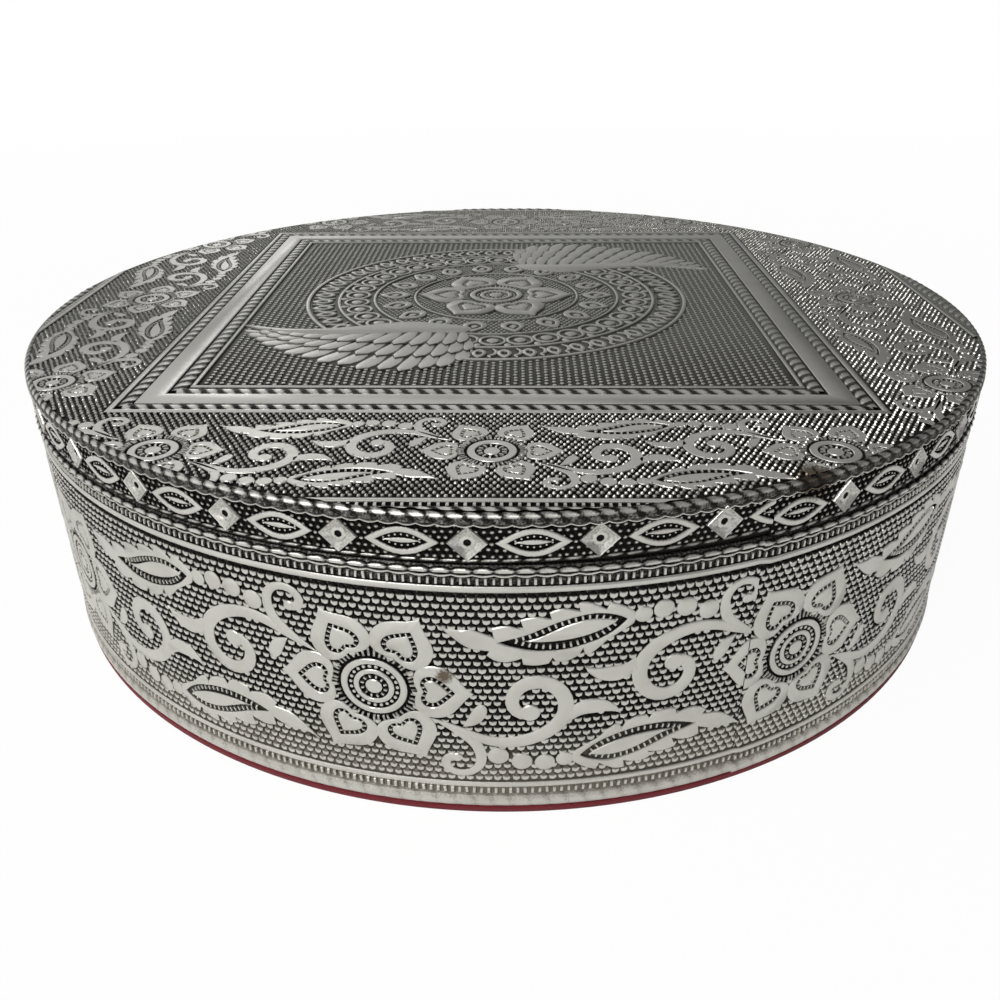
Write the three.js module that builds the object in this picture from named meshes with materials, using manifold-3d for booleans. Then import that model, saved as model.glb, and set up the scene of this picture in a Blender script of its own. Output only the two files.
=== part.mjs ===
// Round keepsake box with a lift-off lid. Base and lid are turned from board, lined with velvet
// and clad in embossed sheet metal. Millimetres, +Z up, origin under the middle of the felt.
import * as THREE from 'three';
import { mergeVertices } from 'three/addons/utils/BufferGeometryUtils.js';
import Module from 'manifold-3d';

// Outer sizes
const boxRadius = 100; // ground of the embossed sheet round the wall
const baseHeight = 47.2; // floor to the rim that the lid rests on
const lidHeight = 8.3; // rim to the ground of the sheet on top of the lid

// Sheet metal
const sheetThickness = 0.5;
const foldWidth = 3.2; // flange folded over the rim and under the foot
const rimRopeWidth = 1.5; // rope along the top edge of the base
const rimRopeRelief = 0.5;
const footRopeWidth = 2.4; // rope along the bottom edge of the base
const footRopeRelief = 0.8;
const skirtDrop = 1.3; // edge of the top sheet, folded down over the band
const skirtRound = 0.9;
const bandLift = 0.6; // shadow gap between the band and the rim of the base

// Boards
const baseBoardThickness = 3.5;
const wallThickness = 5;
const collarThickness = 2.2;
const collarChamfer = 0.6;
const lidBoardThickness = 3;

// Embossed work
const reliefHeight = 0.6; // raised ornament above the ground of the sheet
const lineWidth = 1.1; // plain raised lines
const wallLineDrop = 3.1; // rim to the upper plain line on the base
const footLineLift = 4.4; // foot of the sheet to the lower plain line
const topLineInset = 4; // edge of the lid to the plain circle
const frameHalf = 66; // middle of the lid to the outer edge of the square frame
const frameBandOuter = 61.4;
const frameBandWidth = 4.6;
const panelHalf = 54.4; // middle of the lid to the thin line round the panel
const artShiftX = -1; // the square work sits a little off the middle of the lid
const artShiftY = 1;
const thinLineWidth = 0.7;
const medallionRadius = 43.4;

// Felt and velvet
const feltThickness = 1.2;
const feltInset = 0.2; // felt edge behind the ground of the sheet
const liningThickness = 1.2;
const liningDrop = 0.5; // lining below the top of the collar
const floorPadThickness = 2.6;
const lidPadThickness = 1;
const padEdgeShare = 0.55; // pad thickness at its edge as a share of the middle

// Fits
const glueGap = 0.3; // glue line between curved faces
const lidClearance = 0.6; // running gap between collar and lid wall
const collarHeadroom = 0.8; // free height between collar and lid pad

// Facets
const segments = 44; // pieces that show
const innerSegments = 36; // boards and linings
const roundSteps = 1; // on ropes and rolled edges
const padSteps = 4;
const ringSteps = 8; // sides of a flower's middle
const holeSteps = 5;
const scrollSteps = 6;

// Radii, from the sheet inwards
const sheetInner = boxRadius - sheetThickness;
const wallOuter = sheetInner - glueGap;
const wallInner = wallOuter - wallThickness;
const collarOuter = wallInner - glueGap;
const collarInner = collarOuter - collarThickness;
const liningOuter = collarInner - glueGap;
const liningInner = liningOuter - liningThickness;
const lidWallInner = collarOuter + lidClearance;
const skirtInner = boxRadius + glueGap;
const skirtOuter = skirtInner + sheetThickness;
const flangeInner = sheetInner - foldWidth;

// Heights, from the table upwards
const boardBottom = feltThickness + sheetThickness;
const boardTop = boardBottom + baseBoardThickness;
const wallTop = baseHeight - sheetThickness;
const lidTop = baseHeight + lidHeight;
const lidBoardTop = lidTop - sheetThickness;
const lidBoardBottom = lidBoardTop - lidBoardThickness;
const collarTop = lidBoardBottom - lidPadThickness - collarHeadroom;
const skirtBottom = lidTop - skirtDrop;

// Bands of the sheet that carry ornament
const upperLine = baseHeight - wallLineDrop;
const lowerLine = feltThickness + footLineLift;
const wallMiddle = (upperLine + lowerLine) / 2;
const wallGround = upperLine - lowerLine - 2 * lineWidth;
const bandBottom = baseHeight + bandLift;
const bandMiddle = (bandBottom + skirtBottom) / 2;
const bandGround = skirtBottom - bandBottom;
const topCircle = boxRadius - topLineInset;
const segmentDepth = topCircle - lineWidth - frameHalf;

// Repeats, as shares of the depth of the band that they fill
const wallRepeatShare = 1.95;
const topRepeatShare = 1.82;
const eyeRepeatShare = 2.9;
const aroundWall = 2 * Math.PI * boxRadius;
const flowerCount = Math.round(aroundWall / (wallGround * wallRepeatShare));
const flowerRepeat = aroundWall / flowerCount;
const eyeCount = Math.round(aroundWall / (bandGround * eyeRepeatShare));
const frontFlowerTurn = -10.7; // degrees from the front to the nearest flower
const frontEyeTurn = 3.3;

const finishes = {
  sheet: { color: 0xbfc3bf, roughness: 0.34, metalness: 1 },
  board: { color: 0xa98458, roughness: 0.8, metalness: 0 },
  velvet: { color: 0x8c1220, roughness: 0.95, metalness: 0 },
  felt: { color: 0xa81a24, roughness: 1, metalness: 0 },
};

const box = new THREE.Group();

function addPiece(name, geometry, finish) {
  const mesh = new THREE.Mesh(geometry, new THREE.MeshStandardMaterial(finishes[finish]));
  mesh.name = name;
  box.add(mesh);
  return mesh;
}

// Turns a closed outline of [radius, height] pairs, counter-clockwise, round the Z axis
function revolve(outline, steps = segments) {
  const points = outline.map(([radius, height]) => new THREE.Vector2(radius, height));
  if (outline[0][0] > 0) points.push(points[0].clone());
  return new THREE.LatheGeometry(points, steps).rotateX(Math.PI / 2);
}

function ring(inner, outer, bottom, top, steps = segments) {
  return revolve([[inner, bottom], [outer, bottom], [outer, top], [inner, top]], steps);
}

function disc(radius, bottom, top, steps = segments) {
  return revolve([[0, bottom], [radius, bottom], [radius, top], [0, top]], steps);
}

// Half-round ridge on the outside of the sheet, from its lower to its upper edge
function ridge(radius, bottom, width, relief) {
  return Array.from({ length: roundSteps + 2 }, (_, i) => {
    const turn = (Math.PI * i) / (roundSteps + 1);
    return [radius + relief * Math.sin(turn), bottom + (width * (1 - Math.cos(turn))) / 2];
  });
}

// Solids for joining and cutting
const wasm = await Module();
wasm.setup();

function toSolid(geometry) {
  geometry.deleteAttribute('normal');
  geometry.deleteAttribute('uv');
  const merged = mergeVertices(geometry);
  const corners = merged.index.array;
  const faces = [];
  for (let i = 0; i < corners.length; i += 3) {
    const [a, b, c] = corners.slice(i, i + 3);
    if (a !== b && b !== c && c !== a) faces.push(a, b, c);
  }
  const vertProperties = new Float32Array(merged.attributes.position.array);
  const triVerts = new Uint32Array(faces);
  return new wasm.Manifold(new wasm.Mesh({ numProp: 3, vertProperties, triVerts }));
}

function toGeometry(solid) {
  const { vertProperties, triVerts } = solid.getMesh();
  const geometry = new THREE.BufferGeometry();
  geometry.setAttribute('position', new THREE.BufferAttribute(vertProperties, 3));
  geometry.setIndex(new THREE.BufferAttribute(triVerts, 1));
  geometry.computeVertexNormals();
  return geometry;
}

function joinAll(solids) {
  return solids.reduce((whole, solid) => whole.add(solid));
}

// Flat shapes of the embossed work. Tables are shares of the flower repeat, with +X to the right,
// +Y up and the middle of the flower at the origin.
const petalShares = [[0.218, 0], [0.135, 0.062], [0.09, 0], [0.135, -0.062]];
const flowerRingShare = 0.078;
const flowerHoleShare = 0.05;
const petalCount = 6;
const scrollShares = [
  [-0.137, 0.076], [-0.181, 0.113], [-0.241, 0.138], [-0.318, 0.138], [-0.382, 0.105], [-0.418, 0.048],
  [-0.402, -0.004], [-0.35, -0.024], [-0.31, 0.004], [-0.31, 0.044], [-0.338, 0.06],
];
const scrollWidthShares = [0.006, 0.018, 0.028, 0.034, 0.042, 0.043, 0.037, 0.035, 0.035, 0.035, 0.03];
const scrollTailShares = [[-0.547, 0.072], [-0.43, 0.09], [-0.43, 0.02]];
const leafShares = [
  [-0.855, 0.179], [-0.735, 0.2], [-0.573, 0.242], [-0.45, 0.215], [-0.18, 0.235], [-0.22, 0.15],
  [-0.46, 0.172], [-0.6, 0.09], [-0.74, 0.105],
];

function scaled(shares, size) {
  return shares.map(([x, y]) => new THREE.Vector2(x * size, y * size));
}

function polygon(shares, size) {
  return new THREE.Shape(scaled(shares, size));
}

function round(radius, sides) {
  const corner = new THREE.Vector2(radius, 0);
  const centre = new THREE.Vector2();
  return new THREE.Shape(Array.from({ length: sides }, (_, i) =>
    corner.clone().rotateAround(centre, (2 * Math.PI * i) / sides)));
}

// Band of changing width along a smooth path
function ribbon(shares, widthShares, steps, size) {
  const path = new THREE.SplineCurve(scaled(shares, size));
  const sides = [[], []];
  for (let i = 0; i <= steps; i++) {
    const along = i / steps;
    const place = along * (widthShares.length - 1);
    const before = Math.min(Math.floor(place), widthShares.length - 2);
    const width = size * THREE.MathUtils.lerp(widthShares[before], widthShares[before + 1], place - before);
    const middle = path.getPoint(along);
    const across = path.getTangent(along).rotateAround(new THREE.Vector2(), Math.PI / 2);
    sides[0].push(middle.clone().addScaledVector(across, width / 2));
    sides[1].unshift(middle.clone().addScaledVector(across, -width / 2));
  }
  return new THREE.Shape(sides.flat());
}

function turned(shape, turn) {
  const centre = new THREE.Vector2();
  const spin = (points) => points.map((point) => point.clone().rotateAround(centre, turn));
  const copy = new THREE.Shape(spin(shape.getPoints()));
  copy.holes = shape.holes.map((hole) => new THREE.Path(spin(hole.getPoints())));
  return copy;
}

function flowerShapes(size) {
  const middle = round(flowerRingShare * size, ringSteps);
  middle.holes.push(round(flowerHoleShare * size, holeSteps));
  const petal = polygon(petalShares, size);
  const petals = Array.from({ length: petalCount }, (_, i) => turned(petal, (2 * Math.PI * i) / petalCount));
  return [middle, ...petals];
}

function armShapes(size) {
  return [
    ribbon(scrollShares, scrollWidthShares, scrollSteps, size),
    polygon(scrollTailShares, size),
    polygon(leafShares, size),
  ];
}

// Straight-sided block of a flat shape, from one height to another
function block(shape, low, high) {
  const geometry = new THREE.ExtrudeGeometry(shape, { depth: high - low, bevelEnabled: false });
  return toSolid(geometry.translate(0, 0, low));
}

// Base: board, wall and the collar that the lid drops over
addPiece('base_felt', disc(boxRadius - feltInset, 0, feltThickness), 'felt');
addPiece('base_board', disc(wallOuter, boardBottom, boardTop, innerSegments), 'board');
addPiece('base_wall', ring(wallInner, wallOuter, boardTop, wallTop, innerSegments), 'board');

function makeCollar() {
  return revolve([
    [collarInner, boardTop],
    [collarOuter, boardTop],
    [collarOuter, collarTop - collarChamfer],
    [collarOuter - collarChamfer, collarTop],
    [collarInner, collarTop],
  ], innerSegments);
}
addPiece('base_collar', makeCollar(), 'board');

// Sheet round the base: folded over the rim and under the foot, with a rope along both edges
function makeBaseSheet() {
  return revolve([
    [flangeInner, feltThickness],
    ...ridge(boxRadius, feltThickness, footRopeWidth, footRopeRelief),
    ...ridge(boxRadius, baseHeight - rimRopeWidth, rimRopeWidth, rimRopeRelief),
    [flangeInner, baseHeight],
    [flangeInner, wallTop],
    [sheetInner, wallTop],
    [sheetInner, boardBottom],
    [flangeInner, boardBottom],
  ]);
}

// Blocks set round the wall, each square to the wall at its own middle
const rootShare = 0.9;
const reliefRoot = sheetThickness * rootShare;
const sweepShare = 5; // how far a long shape reaches past the relief before it is cut round
const longReliefOverrun = sweepShare * reliefHeight;

function wallBlock(shape, low, high, turnDegrees, height) {
  const across = shape.getPoints().map((point) => point.x);
  const middle = (Math.min(...across) + Math.max(...across)) / 2;
  const flat = block(shape, low, high).translate([-middle, 0, 0]);
  const turn = turnDegrees + THREE.MathUtils.radToDeg(middle / boxRadius);
  return flat.rotate([90, 0, turn]).translate([0, 0, height]);
}

// Small shapes keep a flat face
function smallBlocks(shapes, turnDegrees, height) {
  const [low, high] = [boxRadius - reliefRoot, boxRadius + reliefHeight];
  return joinAll(shapes.map((shape) => wallBlock(shape, low, high, turnDegrees, height)));
}

// Long shapes are cut to one height all along the wall
function longBlocks(shapes, turnDegrees, height) {
  const [low, high] = [boxRadius - longReliefOverrun, boxRadius + longReliefOverrun];
  return joinAll(shapes.map((shape) => wallBlock(shape, low, high, turnDegrees, height)));
}

function makeWallOrnament() {
  const flower = flowerShapes(flowerRepeat);
  const arms = armShapes(flowerRepeat);
  arms.push(...arms.map((arm) => turned(arm, Math.PI)));
  const turns = Array.from({ length: flowerCount }, (_, i) => frontFlowerTurn + (360 * i) / flowerCount);
  const flowers = joinAll(turns.map((turn) => smallBlocks(flower, turn, wallMiddle)));
  const allArms = joinAll(turns.map((turn) => longBlocks(arms, turn, wallMiddle)));
  const [low, high] = [boxRadius - reliefRoot, boxRadius + reliefHeight];
  return flowers.add(allArms.intersect(toSolid(ring(low, high, lowerLine, upperLine))));
}

function wallLine(bottom, width) {
  return toSolid(ring(boxRadius - reliefRoot, boxRadius + reliefHeight, bottom, bottom + width));
}

const baseSheet = toSolid(makeBaseSheet())
  .add(wallLine(lowerLine, lineWidth))
  .add(wallLine(upperLine - lineWidth, lineWidth))
  .add(makeWallOrnament());
addPiece('base_sheet', toGeometry(baseSheet), 'sheet');

// Velvet inside the base
function padOutline(radius, bottom, top) {
  const edge = bottom + (top - bottom) * padEdgeShare;
  const crown = Array.from({ length: padSteps - 1 }, (_, i) => {
    const turn = (Math.PI / 2) * ((i + 1) / padSteps);
    return [radius * Math.cos(turn), edge + (top - edge) * Math.sin(turn)];
  });
  return [[0, bottom], [radius, bottom], [radius, edge], ...crown, [0, top]];
}
const liningTop = collarTop - liningDrop;
addPiece('base_lining', ring(liningInner, liningOuter, boardTop, liningTop, innerSegments), 'velvet');
const floorPad = padOutline(liningInner - glueGap, boardTop, boardTop + floorPadThickness);
addPiece('base_floor_pad', revolve(floorPad, innerSegments), 'velvet');

// Lid: board and wall
addPiece('lid_board', disc(wallOuter, lidBoardBottom, lidBoardTop, innerSegments), 'board');
addPiece('lid_wall', ring(lidWallInner, wallOuter, baseHeight, lidBoardBottom, innerSegments), 'board');
const lidPadRadius = lidWallInner - glueGap;
const lidPadBottom = lidBoardBottom - lidPadThickness;
addPiece('lid_pad', disc(lidPadRadius, lidPadBottom, lidBoardBottom, innerSegments), 'velvet');

// Sheet on top of the lid, its edge rolled down over the band
function makeTopSheet() {
  const roll = Array.from({ length: roundSteps + 1 }, (_, i) => {
    const turn = ((Math.PI / 2) * i) / roundSteps;
    return [
      skirtOuter - skirtRound * (1 - Math.cos(turn)),
      lidTop - skirtRound * (1 - Math.sin(turn)),
    ];
  });
  return revolve([
    [0, lidBoardTop],
    [skirtInner, lidBoardTop],
    [skirtInner, skirtBottom],
    [skirtOuter, skirtBottom],
    ...roll,
    [0, lidTop],
  ]);
}

function topBlock(shape) {
  return block(shape, lidTop - reliefRoot, lidTop + reliefHeight);
}

const squareShares = [[-1, -1], [1, -1], [1, 1], [-1, 1]];

function squareRing(half, width) {
  const shape = polygon(squareShares, half);
  shape.holes.push(polygon(squareShares, half - width));
  return shape;
}

// Centre panel: a ringed rosette and two feathered wings, turned about the middle of the lid.
// Tables are shares of the medallion's radius.
const medallionSteps = 24;
const medallionRingShares = [[1, 0.97], [0.85, 0.82]];
const rosettePetalShares = [[0.62, 0], [0.4, 0.14], [0.2, 0], [0.4, -0.14]];
const rosetteCount = 8;
const shoulderShares = [
  [-1.2, -0.54], [-0.83, -0.56], [-0.47, -0.5], [-0.1, -0.57], [-0.1, -0.66], [-0.5, -0.64], [-0.85, -0.68],
];
const featherRootShares = [[-0.86, -0.66], [-0.6, -0.63], [-0.34, -0.62], [-0.1, -0.64]];
const featherTipShares = [[-1.08, -0.76], [-0.82, -1.04], [-0.42, -1.18], [-0.06, -1.12]];
const featherCount = 7;
const featherWidthShare = 0.1;
const featherWidestShare = 0.67;

function featherShape(along, size) {
  const points = (shares) => new THREE.SplineCurve(scaled(shares, size)).getPoint(along);
  const root = points(featherRootShares);
  const tip = points(featherTipShares);
  const middle = root.clone().lerp(tip, featherWidestShare);
  const across = tip.clone().sub(root).normalize().rotateAround(new THREE.Vector2(), Math.PI / 2);
  const half = (featherWidthShare * size) / 2;
  const sides = [middle.clone().addScaledVector(across, half), middle.clone().addScaledVector(across, -half)];
  return new THREE.Shape([root, sides[1], tip, sides[0]]);
}

function makeMedallion() {
  const size = medallionRadius;
  const rings = medallionRingShares.map(([outer, inner]) => {
    const shape = round(outer * size, medallionSteps);
    shape.holes.push(round(inner * size, medallionSteps));
    return shape;
  });
  const petal = polygon(rosettePetalShares, size);
  const petals = Array.from({ length: rosetteCount }, (_, i) => turned(petal, (2 * Math.PI * i) / rosetteCount));
  const feathers = Array.from({ length: featherCount }, (_, i) => featherShape(i / (featherCount - 1), size));
  const wing = [polygon(shoulderShares, size), ...feathers];
  return joinAll([...rings, ...petals, ...wing, ...wing.map((shape) => turned(shape, Math.PI))].map(topBlock));
}

function circleLine(radius, width) {
  return toSolid(ring(radius - width, radius, lidTop - reliefRoot, lidTop + reliefHeight));
}

// Segments between the frame and the plain circle, each with three flowers and four arms
const sideCount = 4;
const artShift = [artShiftX, artShiftY, 0];

function makeSegments() {
  const size = segmentDepth * topRepeatShare;
  const arms = armShapes(size);
  const flower = joinAll(flowerShapes(size).map(topBlock));
  const leftArm = joinAll(arms.map(topBlock));
  const rightArm = joinAll(arms.map((arm) => topBlock(turned(arm, Math.PI))));
  const middle = -(frameHalf + segmentDepth / 2);
  const front = joinAll([
    flower,
    leftArm,
    rightArm,
    flower.add(rightArm).translate([-size, 0, 0]),
    flower.add(leftArm).translate([size, 0, 0]),
  ]).translate([0, middle, 0]);
  const sides = Array.from({ length: sideCount }, (_, i) => front.rotate([0, 0, (360 * i) / sideCount]));
  const inside = toSolid(disc(topCircle - lineWidth / 2, 0, lidTop + reliefHeight));
  return joinAll(sides).translate(artShift).intersect(inside);
}

const squareWork = joinAll([
  topBlock(squareRing(frameHalf, thinLineWidth)),
  topBlock(squareRing(frameBandOuter, frameBandWidth)),
  topBlock(squareRing(panelHalf, thinLineWidth)),
  makeMedallion(),
]);
const topSheet = joinAll([
  toSolid(makeTopSheet()),
  circleLine(topCircle, lineWidth),
  squareWork.translate(artShift),
  makeSegments(),
]);
addPiece('lid_top_sheet', toGeometry(topSheet), 'sheet');

// Band round the lid
const eyeShares = [[0.28, 0], [0.12, 0.12], [-0.12, 0.12], [-0.28, 0], [-0.12, -0.12], [0.12, -0.12]];
const eyeHoleShares = [[0.19, 0], [0, 0.075], [-0.19, 0], [0, -0.075]];
const diamondShares = [[0.66, 0], [0.5, 0.15], [0.34, 0], [0.5, -0.15]];

function makeBandOrnament() {
  const size = aroundWall / eyeCount;
  const eye = polygon(eyeShares, size);
  eye.holes.push(polygon(eyeHoleShares, size));
  const shapes = [eye, polygon(diamondShares, size)];
  return joinAll(Array.from({ length: eyeCount }, (_, i) =>
    smallBlocks(shapes, frontEyeTurn + (360 * i) / eyeCount, bandMiddle)));
}

const band = toSolid(ring(sheetInner, boxRadius, bandBottom, lidBoardTop - glueGap)).add(makeBandOrnament());
addPiece('lid_band', toGeometry(band), 'sheet');

export default box;
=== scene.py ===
# Looks of a round keepsake box: board clad in embossed aluminium, blackened and rubbed back,
# with red velvet inside and red felt underneath. Sizes are in millimetres until a mesh is made.
import math

import bmesh
import bpy
import numpy as np
from mathutils import Matrix, Vector
from mathutils.geometry import tessellate_polygon


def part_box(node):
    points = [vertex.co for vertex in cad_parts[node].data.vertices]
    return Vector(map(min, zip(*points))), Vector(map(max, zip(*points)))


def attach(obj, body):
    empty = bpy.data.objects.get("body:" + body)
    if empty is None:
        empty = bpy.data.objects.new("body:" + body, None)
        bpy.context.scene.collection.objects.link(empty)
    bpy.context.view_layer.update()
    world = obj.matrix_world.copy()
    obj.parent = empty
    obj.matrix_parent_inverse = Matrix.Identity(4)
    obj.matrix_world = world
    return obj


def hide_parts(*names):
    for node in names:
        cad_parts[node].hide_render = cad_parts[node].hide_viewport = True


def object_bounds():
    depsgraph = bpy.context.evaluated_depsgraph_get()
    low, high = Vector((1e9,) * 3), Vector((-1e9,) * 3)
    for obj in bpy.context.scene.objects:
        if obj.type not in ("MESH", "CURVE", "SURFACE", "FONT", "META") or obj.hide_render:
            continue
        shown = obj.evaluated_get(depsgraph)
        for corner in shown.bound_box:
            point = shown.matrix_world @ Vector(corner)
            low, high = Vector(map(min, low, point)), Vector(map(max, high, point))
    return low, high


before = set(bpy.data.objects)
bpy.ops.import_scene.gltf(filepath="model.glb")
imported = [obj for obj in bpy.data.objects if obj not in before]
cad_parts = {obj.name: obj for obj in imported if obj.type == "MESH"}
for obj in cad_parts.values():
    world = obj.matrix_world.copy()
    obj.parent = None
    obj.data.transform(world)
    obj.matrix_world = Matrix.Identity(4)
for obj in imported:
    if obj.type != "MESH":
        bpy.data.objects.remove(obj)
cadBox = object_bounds()
metresPerMm = 0.001
random = np.random.default_rng(7)


def nodeSize(name):  # radius, bottom and top of a round CAD node, in mm
    low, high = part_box(name)
    return high.x / metresPerMm, low.z / metresPerMm, high.z / metresPerMm


# Heights and radii that come from the frame
lidTop = nodeSize("lid_board")[2] + 0.5  # ground of the sheet on the lid
baseRim = nodeSize("base_sheet")[2]
feltTop = nodeSize("base_felt")[2]
boxRadius = 100.0
widest, highest = cadBox[1][0] / metresPerMm, cadBox[1][2] / metresPerMm  # no relief stands out of this
aroundWall = 2 * math.pi * boxRadius

# How a raised form meets the ground: its foot goes a little under, and its flank turns over at these shares
# of the shoulder and the height, with this wear
footing = {"foot": -0.04, "beadFoot": -0.03, "flank": (0.3, 0.8, 0.62), "lineFlank": (0.1, 0.7, 0.6)}


# Patches: points as right, up and out of the ground, triangles, and how far each point is rubbed bright,
# which on the beads also holds painted shade over their upper halves
def join(patches):
    points, faces, wear = zip(*patches)
    starts = np.cumsum([0] + [len(p) for p in points])
    return np.vstack(points), np.vstack([f + start for f, start in zip(faces, starts)]), np.concatenate(wear)


def spun(points, turn):
    c, s = math.cos(turn), math.sin(turn)
    return np.asarray(points, float) @ np.array([[c, s], [-s, c]])


def placed(patch, right=0, up=0, turn=0):
    points, faces, wear = patch
    return np.column_stack([spun(points[:, :2], turn) + (right, up), points[:, 2]]), faces, wear


def skin(rows, columns, closed=True):  # triangles between rows of equal length
    a = np.arange(columns if closed else columns - 1)
    b = (a + 1) % columns
    low = (np.arange(rows - 1) * columns)[:, None]
    first = np.stack([low + a, low + b, low + columns + b], axis=-1)
    second = np.stack([low + a, low + columns + b, low + columns + a], axis=-1)
    return np.concatenate([first, second]).reshape(-1, 3)


def fromRows(rows, closed=True):  # each row lies at one height, with one wear
    points = [np.column_stack([flat, np.full(len(flat), height)]) for flat, height, wear in rows]
    wear = [float(wear) for flat, height, wear in rows]
    count = len(points[0])
    return np.vstack(points), skin(len(rows), count, closed), np.repeat(wear, count)


def unit(vectors):
    return vectors / np.maximum(np.linalg.norm(vectors, axis=-1, keepdims=True), 1e-9)


def leftOf(vectors):
    return np.column_stack([-vectors[:, 1], vectors[:, 0]])


def area(loop):
    x, y = loop[:, 0], loop[:, 1]
    return float(np.sum(x * np.roll(y, -1) - np.roll(x, -1) * y)) / 2


def directions(loop):  # into and out of each corner
    return unit(loop - np.roll(loop, 1, axis=0)), unit(np.roll(loop, -1, axis=0) - loop)


def inset(loop, distance):  # to the left of the way round
    before, after = directions(loop)
    middle = unit(leftOf(before) + leftOf(after))
    reach = 1 / np.maximum(np.sum(middle * leftOf(before), axis=1), 0.45)
    return loop + middle * (reach * distance)[:, None]


def smooth(points, steps, closed=False):  # Catmull-Rom through all points
    points = np.asarray(points, float)
    count, path = len(points), []
    for i in range(count if closed else count - 1):
        near = [(i + k) % count if closed else min(max(i + k, 0), count - 1) for k in (-1, 0, 1, 2)]
        a, b, c, d = points[near]
        for t in np.arange(steps) / steps:
            path.append(b + t * (c - a) / 2 + t * t * (a - 2.5 * b + 2 * c - d / 2)
                        + t ** 3 * (1.5 * (b - c) + (d - a) / 2))
    return np.array(path if closed else path + [points[-1]])


def cornered(points, steps, sharpDegrees=52):  # smooth loop that keeps its sharp corners
    points = np.asarray(points, float)
    before, after = directions(points)
    corners = np.flatnonzero(np.sum(before * after, axis=1) < math.cos(math.radians(sharpDegrees)))
    if len(corners) == 0:
        return smooth(points, steps, closed=True)
    runs = [np.arange(start, end + 1) % len(points)
            for start, end in zip(corners, np.append(corners[1:], corners[0] + len(points)))]
    return np.vstack([smooth(points[run], steps)[:-1] for run in runs])


def evenAngles(count, offset=0.0):
    return 2 * math.pi * (np.arange(count) + offset) / count


def facing(angles):
    return np.column_stack([np.cos(angles), np.sin(angles)])


def roundLoop(radius, sides, turn=0):
    return radius * facing(evenAngles(sides) + turn)


def lens(half, steps):  # two arcs between two sharp ends
    t = np.arange(steps) / steps
    under = np.column_stack([-half[0] + 2 * half[0] * t, -half[1] * np.sin(math.pi * t)])
    return np.vstack([under, -under])


# Raised plate with a rounded shoulder; its side stays black where it meets the ground
def plate(outline, holes=(), height=0.58, shoulder=0.26, topWear=1.0):
    foot, (out, up, flankWear) = footing["foot"], footing["flank"]
    loops = [outline if area(outline) > 0 else outline[::-1]]
    loops += [hole[::-1] if area(hole) > 0 else hole for hole in holes]
    flank = foot + up * (height - foot)
    patches = [fromRows([(loop, foot, 0), (inset(loop, out * shoulder), flank, flankWear),
                         (inset(loop, shoulder), height, topWear)]) for loop in loops]
    tops = [patch[0][-len(loop):] for patch, loop in zip(patches, loops)]
    flat = [[Vector((x, y, 0)) for x, y, z in top] for top in tops]
    faces = np.array(tessellate_polygon(flat), int).reshape(-1, 3)
    points = np.vstack(tops)
    a, b, c = (points[faces[:, k]] for k in (0, 1, 2))
    turned = np.cross(b - a, c - a)[:, 2] < 0
    faces[turned] = faces[turned][:, ::-1]
    return join(patches + [(points, faces, np.full(len(points), topWear))])


# Band of changing width along a path, with the same shoulder as a plate
def ribbon(path, widths, height=0.58, shoulder=0.26):
    half = np.interp(np.linspace(0, 1, len(path)), np.linspace(0, 1, len(widths)), widths) / 2
    side = leftOf(unit(np.gradient(path, axis=0)))
    rows = lineProfile(-half, half, height, np.minimum(shoulder, 0.7 * half), footing["flank"])
    rows = [(path + side * offset[:, None], h, w) for offset, h, w in rows]
    return fromRows(rows, closed=False), np.vstack([rows[0][0], rows[-1][0][::-1]])


def scatter(shape, places, turns=None, sizes=None):  # copies of a small shape
    places = np.asarray(places, float)
    turns = np.zeros(len(places)) if turns is None else np.asarray(turns, float)
    sizes = np.ones(len(places)) if sizes is None else sizes
    c, s = (np.cos(turns) * sizes)[:, None], (np.sin(turns) * sizes)[:, None]
    x, y, z = shape[0].T
    right, up = places[:, :1] + c * x - s * y, places[:, 1:2] + s * x + c * y
    out = np.broadcast_to(z, right.shape) * np.minimum(sizes, 1.05)[:, None]
    points = np.stack([right, up, out], axis=-1).reshape(-1, 3)
    faces = shape[1][None] + (np.arange(len(places)) * len(x))[:, None, None]
    return points, faces.reshape(-1, 3), np.tile(shape[2], len(places))


# Struck bead: lean lowers its crown, a share of painted shade darkens its upper half so that its lower half
# looks lit, rubbed is the wear of its foot, flank and crown, and full is where its flank turns over, as
# shares of the radius and the height
def dome(radius, height, sides, lean=0.0, shade=0.0, rubbed=(0.0, 0.9, 1.0), full=(0.82, 0.74)):
    turns = roundLoop(1, sides, -math.pi / 2)
    foot, flank, crown = rubbed
    rows = [(1.0, footing["beadFoot"], foot), (full[0], full[1] * height, flank)]
    rows = [(turns * radius * r + (0, -lean * h), h, w) for r, h, w in rows]
    points, faces, wear = fromRows(rows)
    first = np.arange(sides) + sides
    cap = np.column_stack([first, (np.arange(sides) + 1) % sides + sides, np.full(sides, 2 * sides)])
    # painted shade and highlight: the bead's upper side is darkened and its lower side kept bright, as light
    # falls, not as it wears
    paintedLitSide = np.tile(np.clip(1.1 - 1.5 * turns[:, 1], 0, 1), 2)
    wear = np.append(wear * (1 - shade + shade * paintedLitSide), crown * (1 - 0.15 * shade))
    return np.vstack([points, [[0, -lean * height, height]]]), np.vstack([faces, cap]), wear


square = np.array([(-1, -1), (1, -1), (1, 1), (-1, 1)])


def tick(length, width, height):  # short ridge along up, rubbed on its flat top
    foot = square * (width / 2, length / 2)
    points, faces, wear = fromRows([(foot, footing["beadFoot"], 0.1), (foot * 0.66, height, 1)])
    return points, np.vstack([faces, [(4, 5, 6), (4, 6, 7)]]), wear


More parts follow.
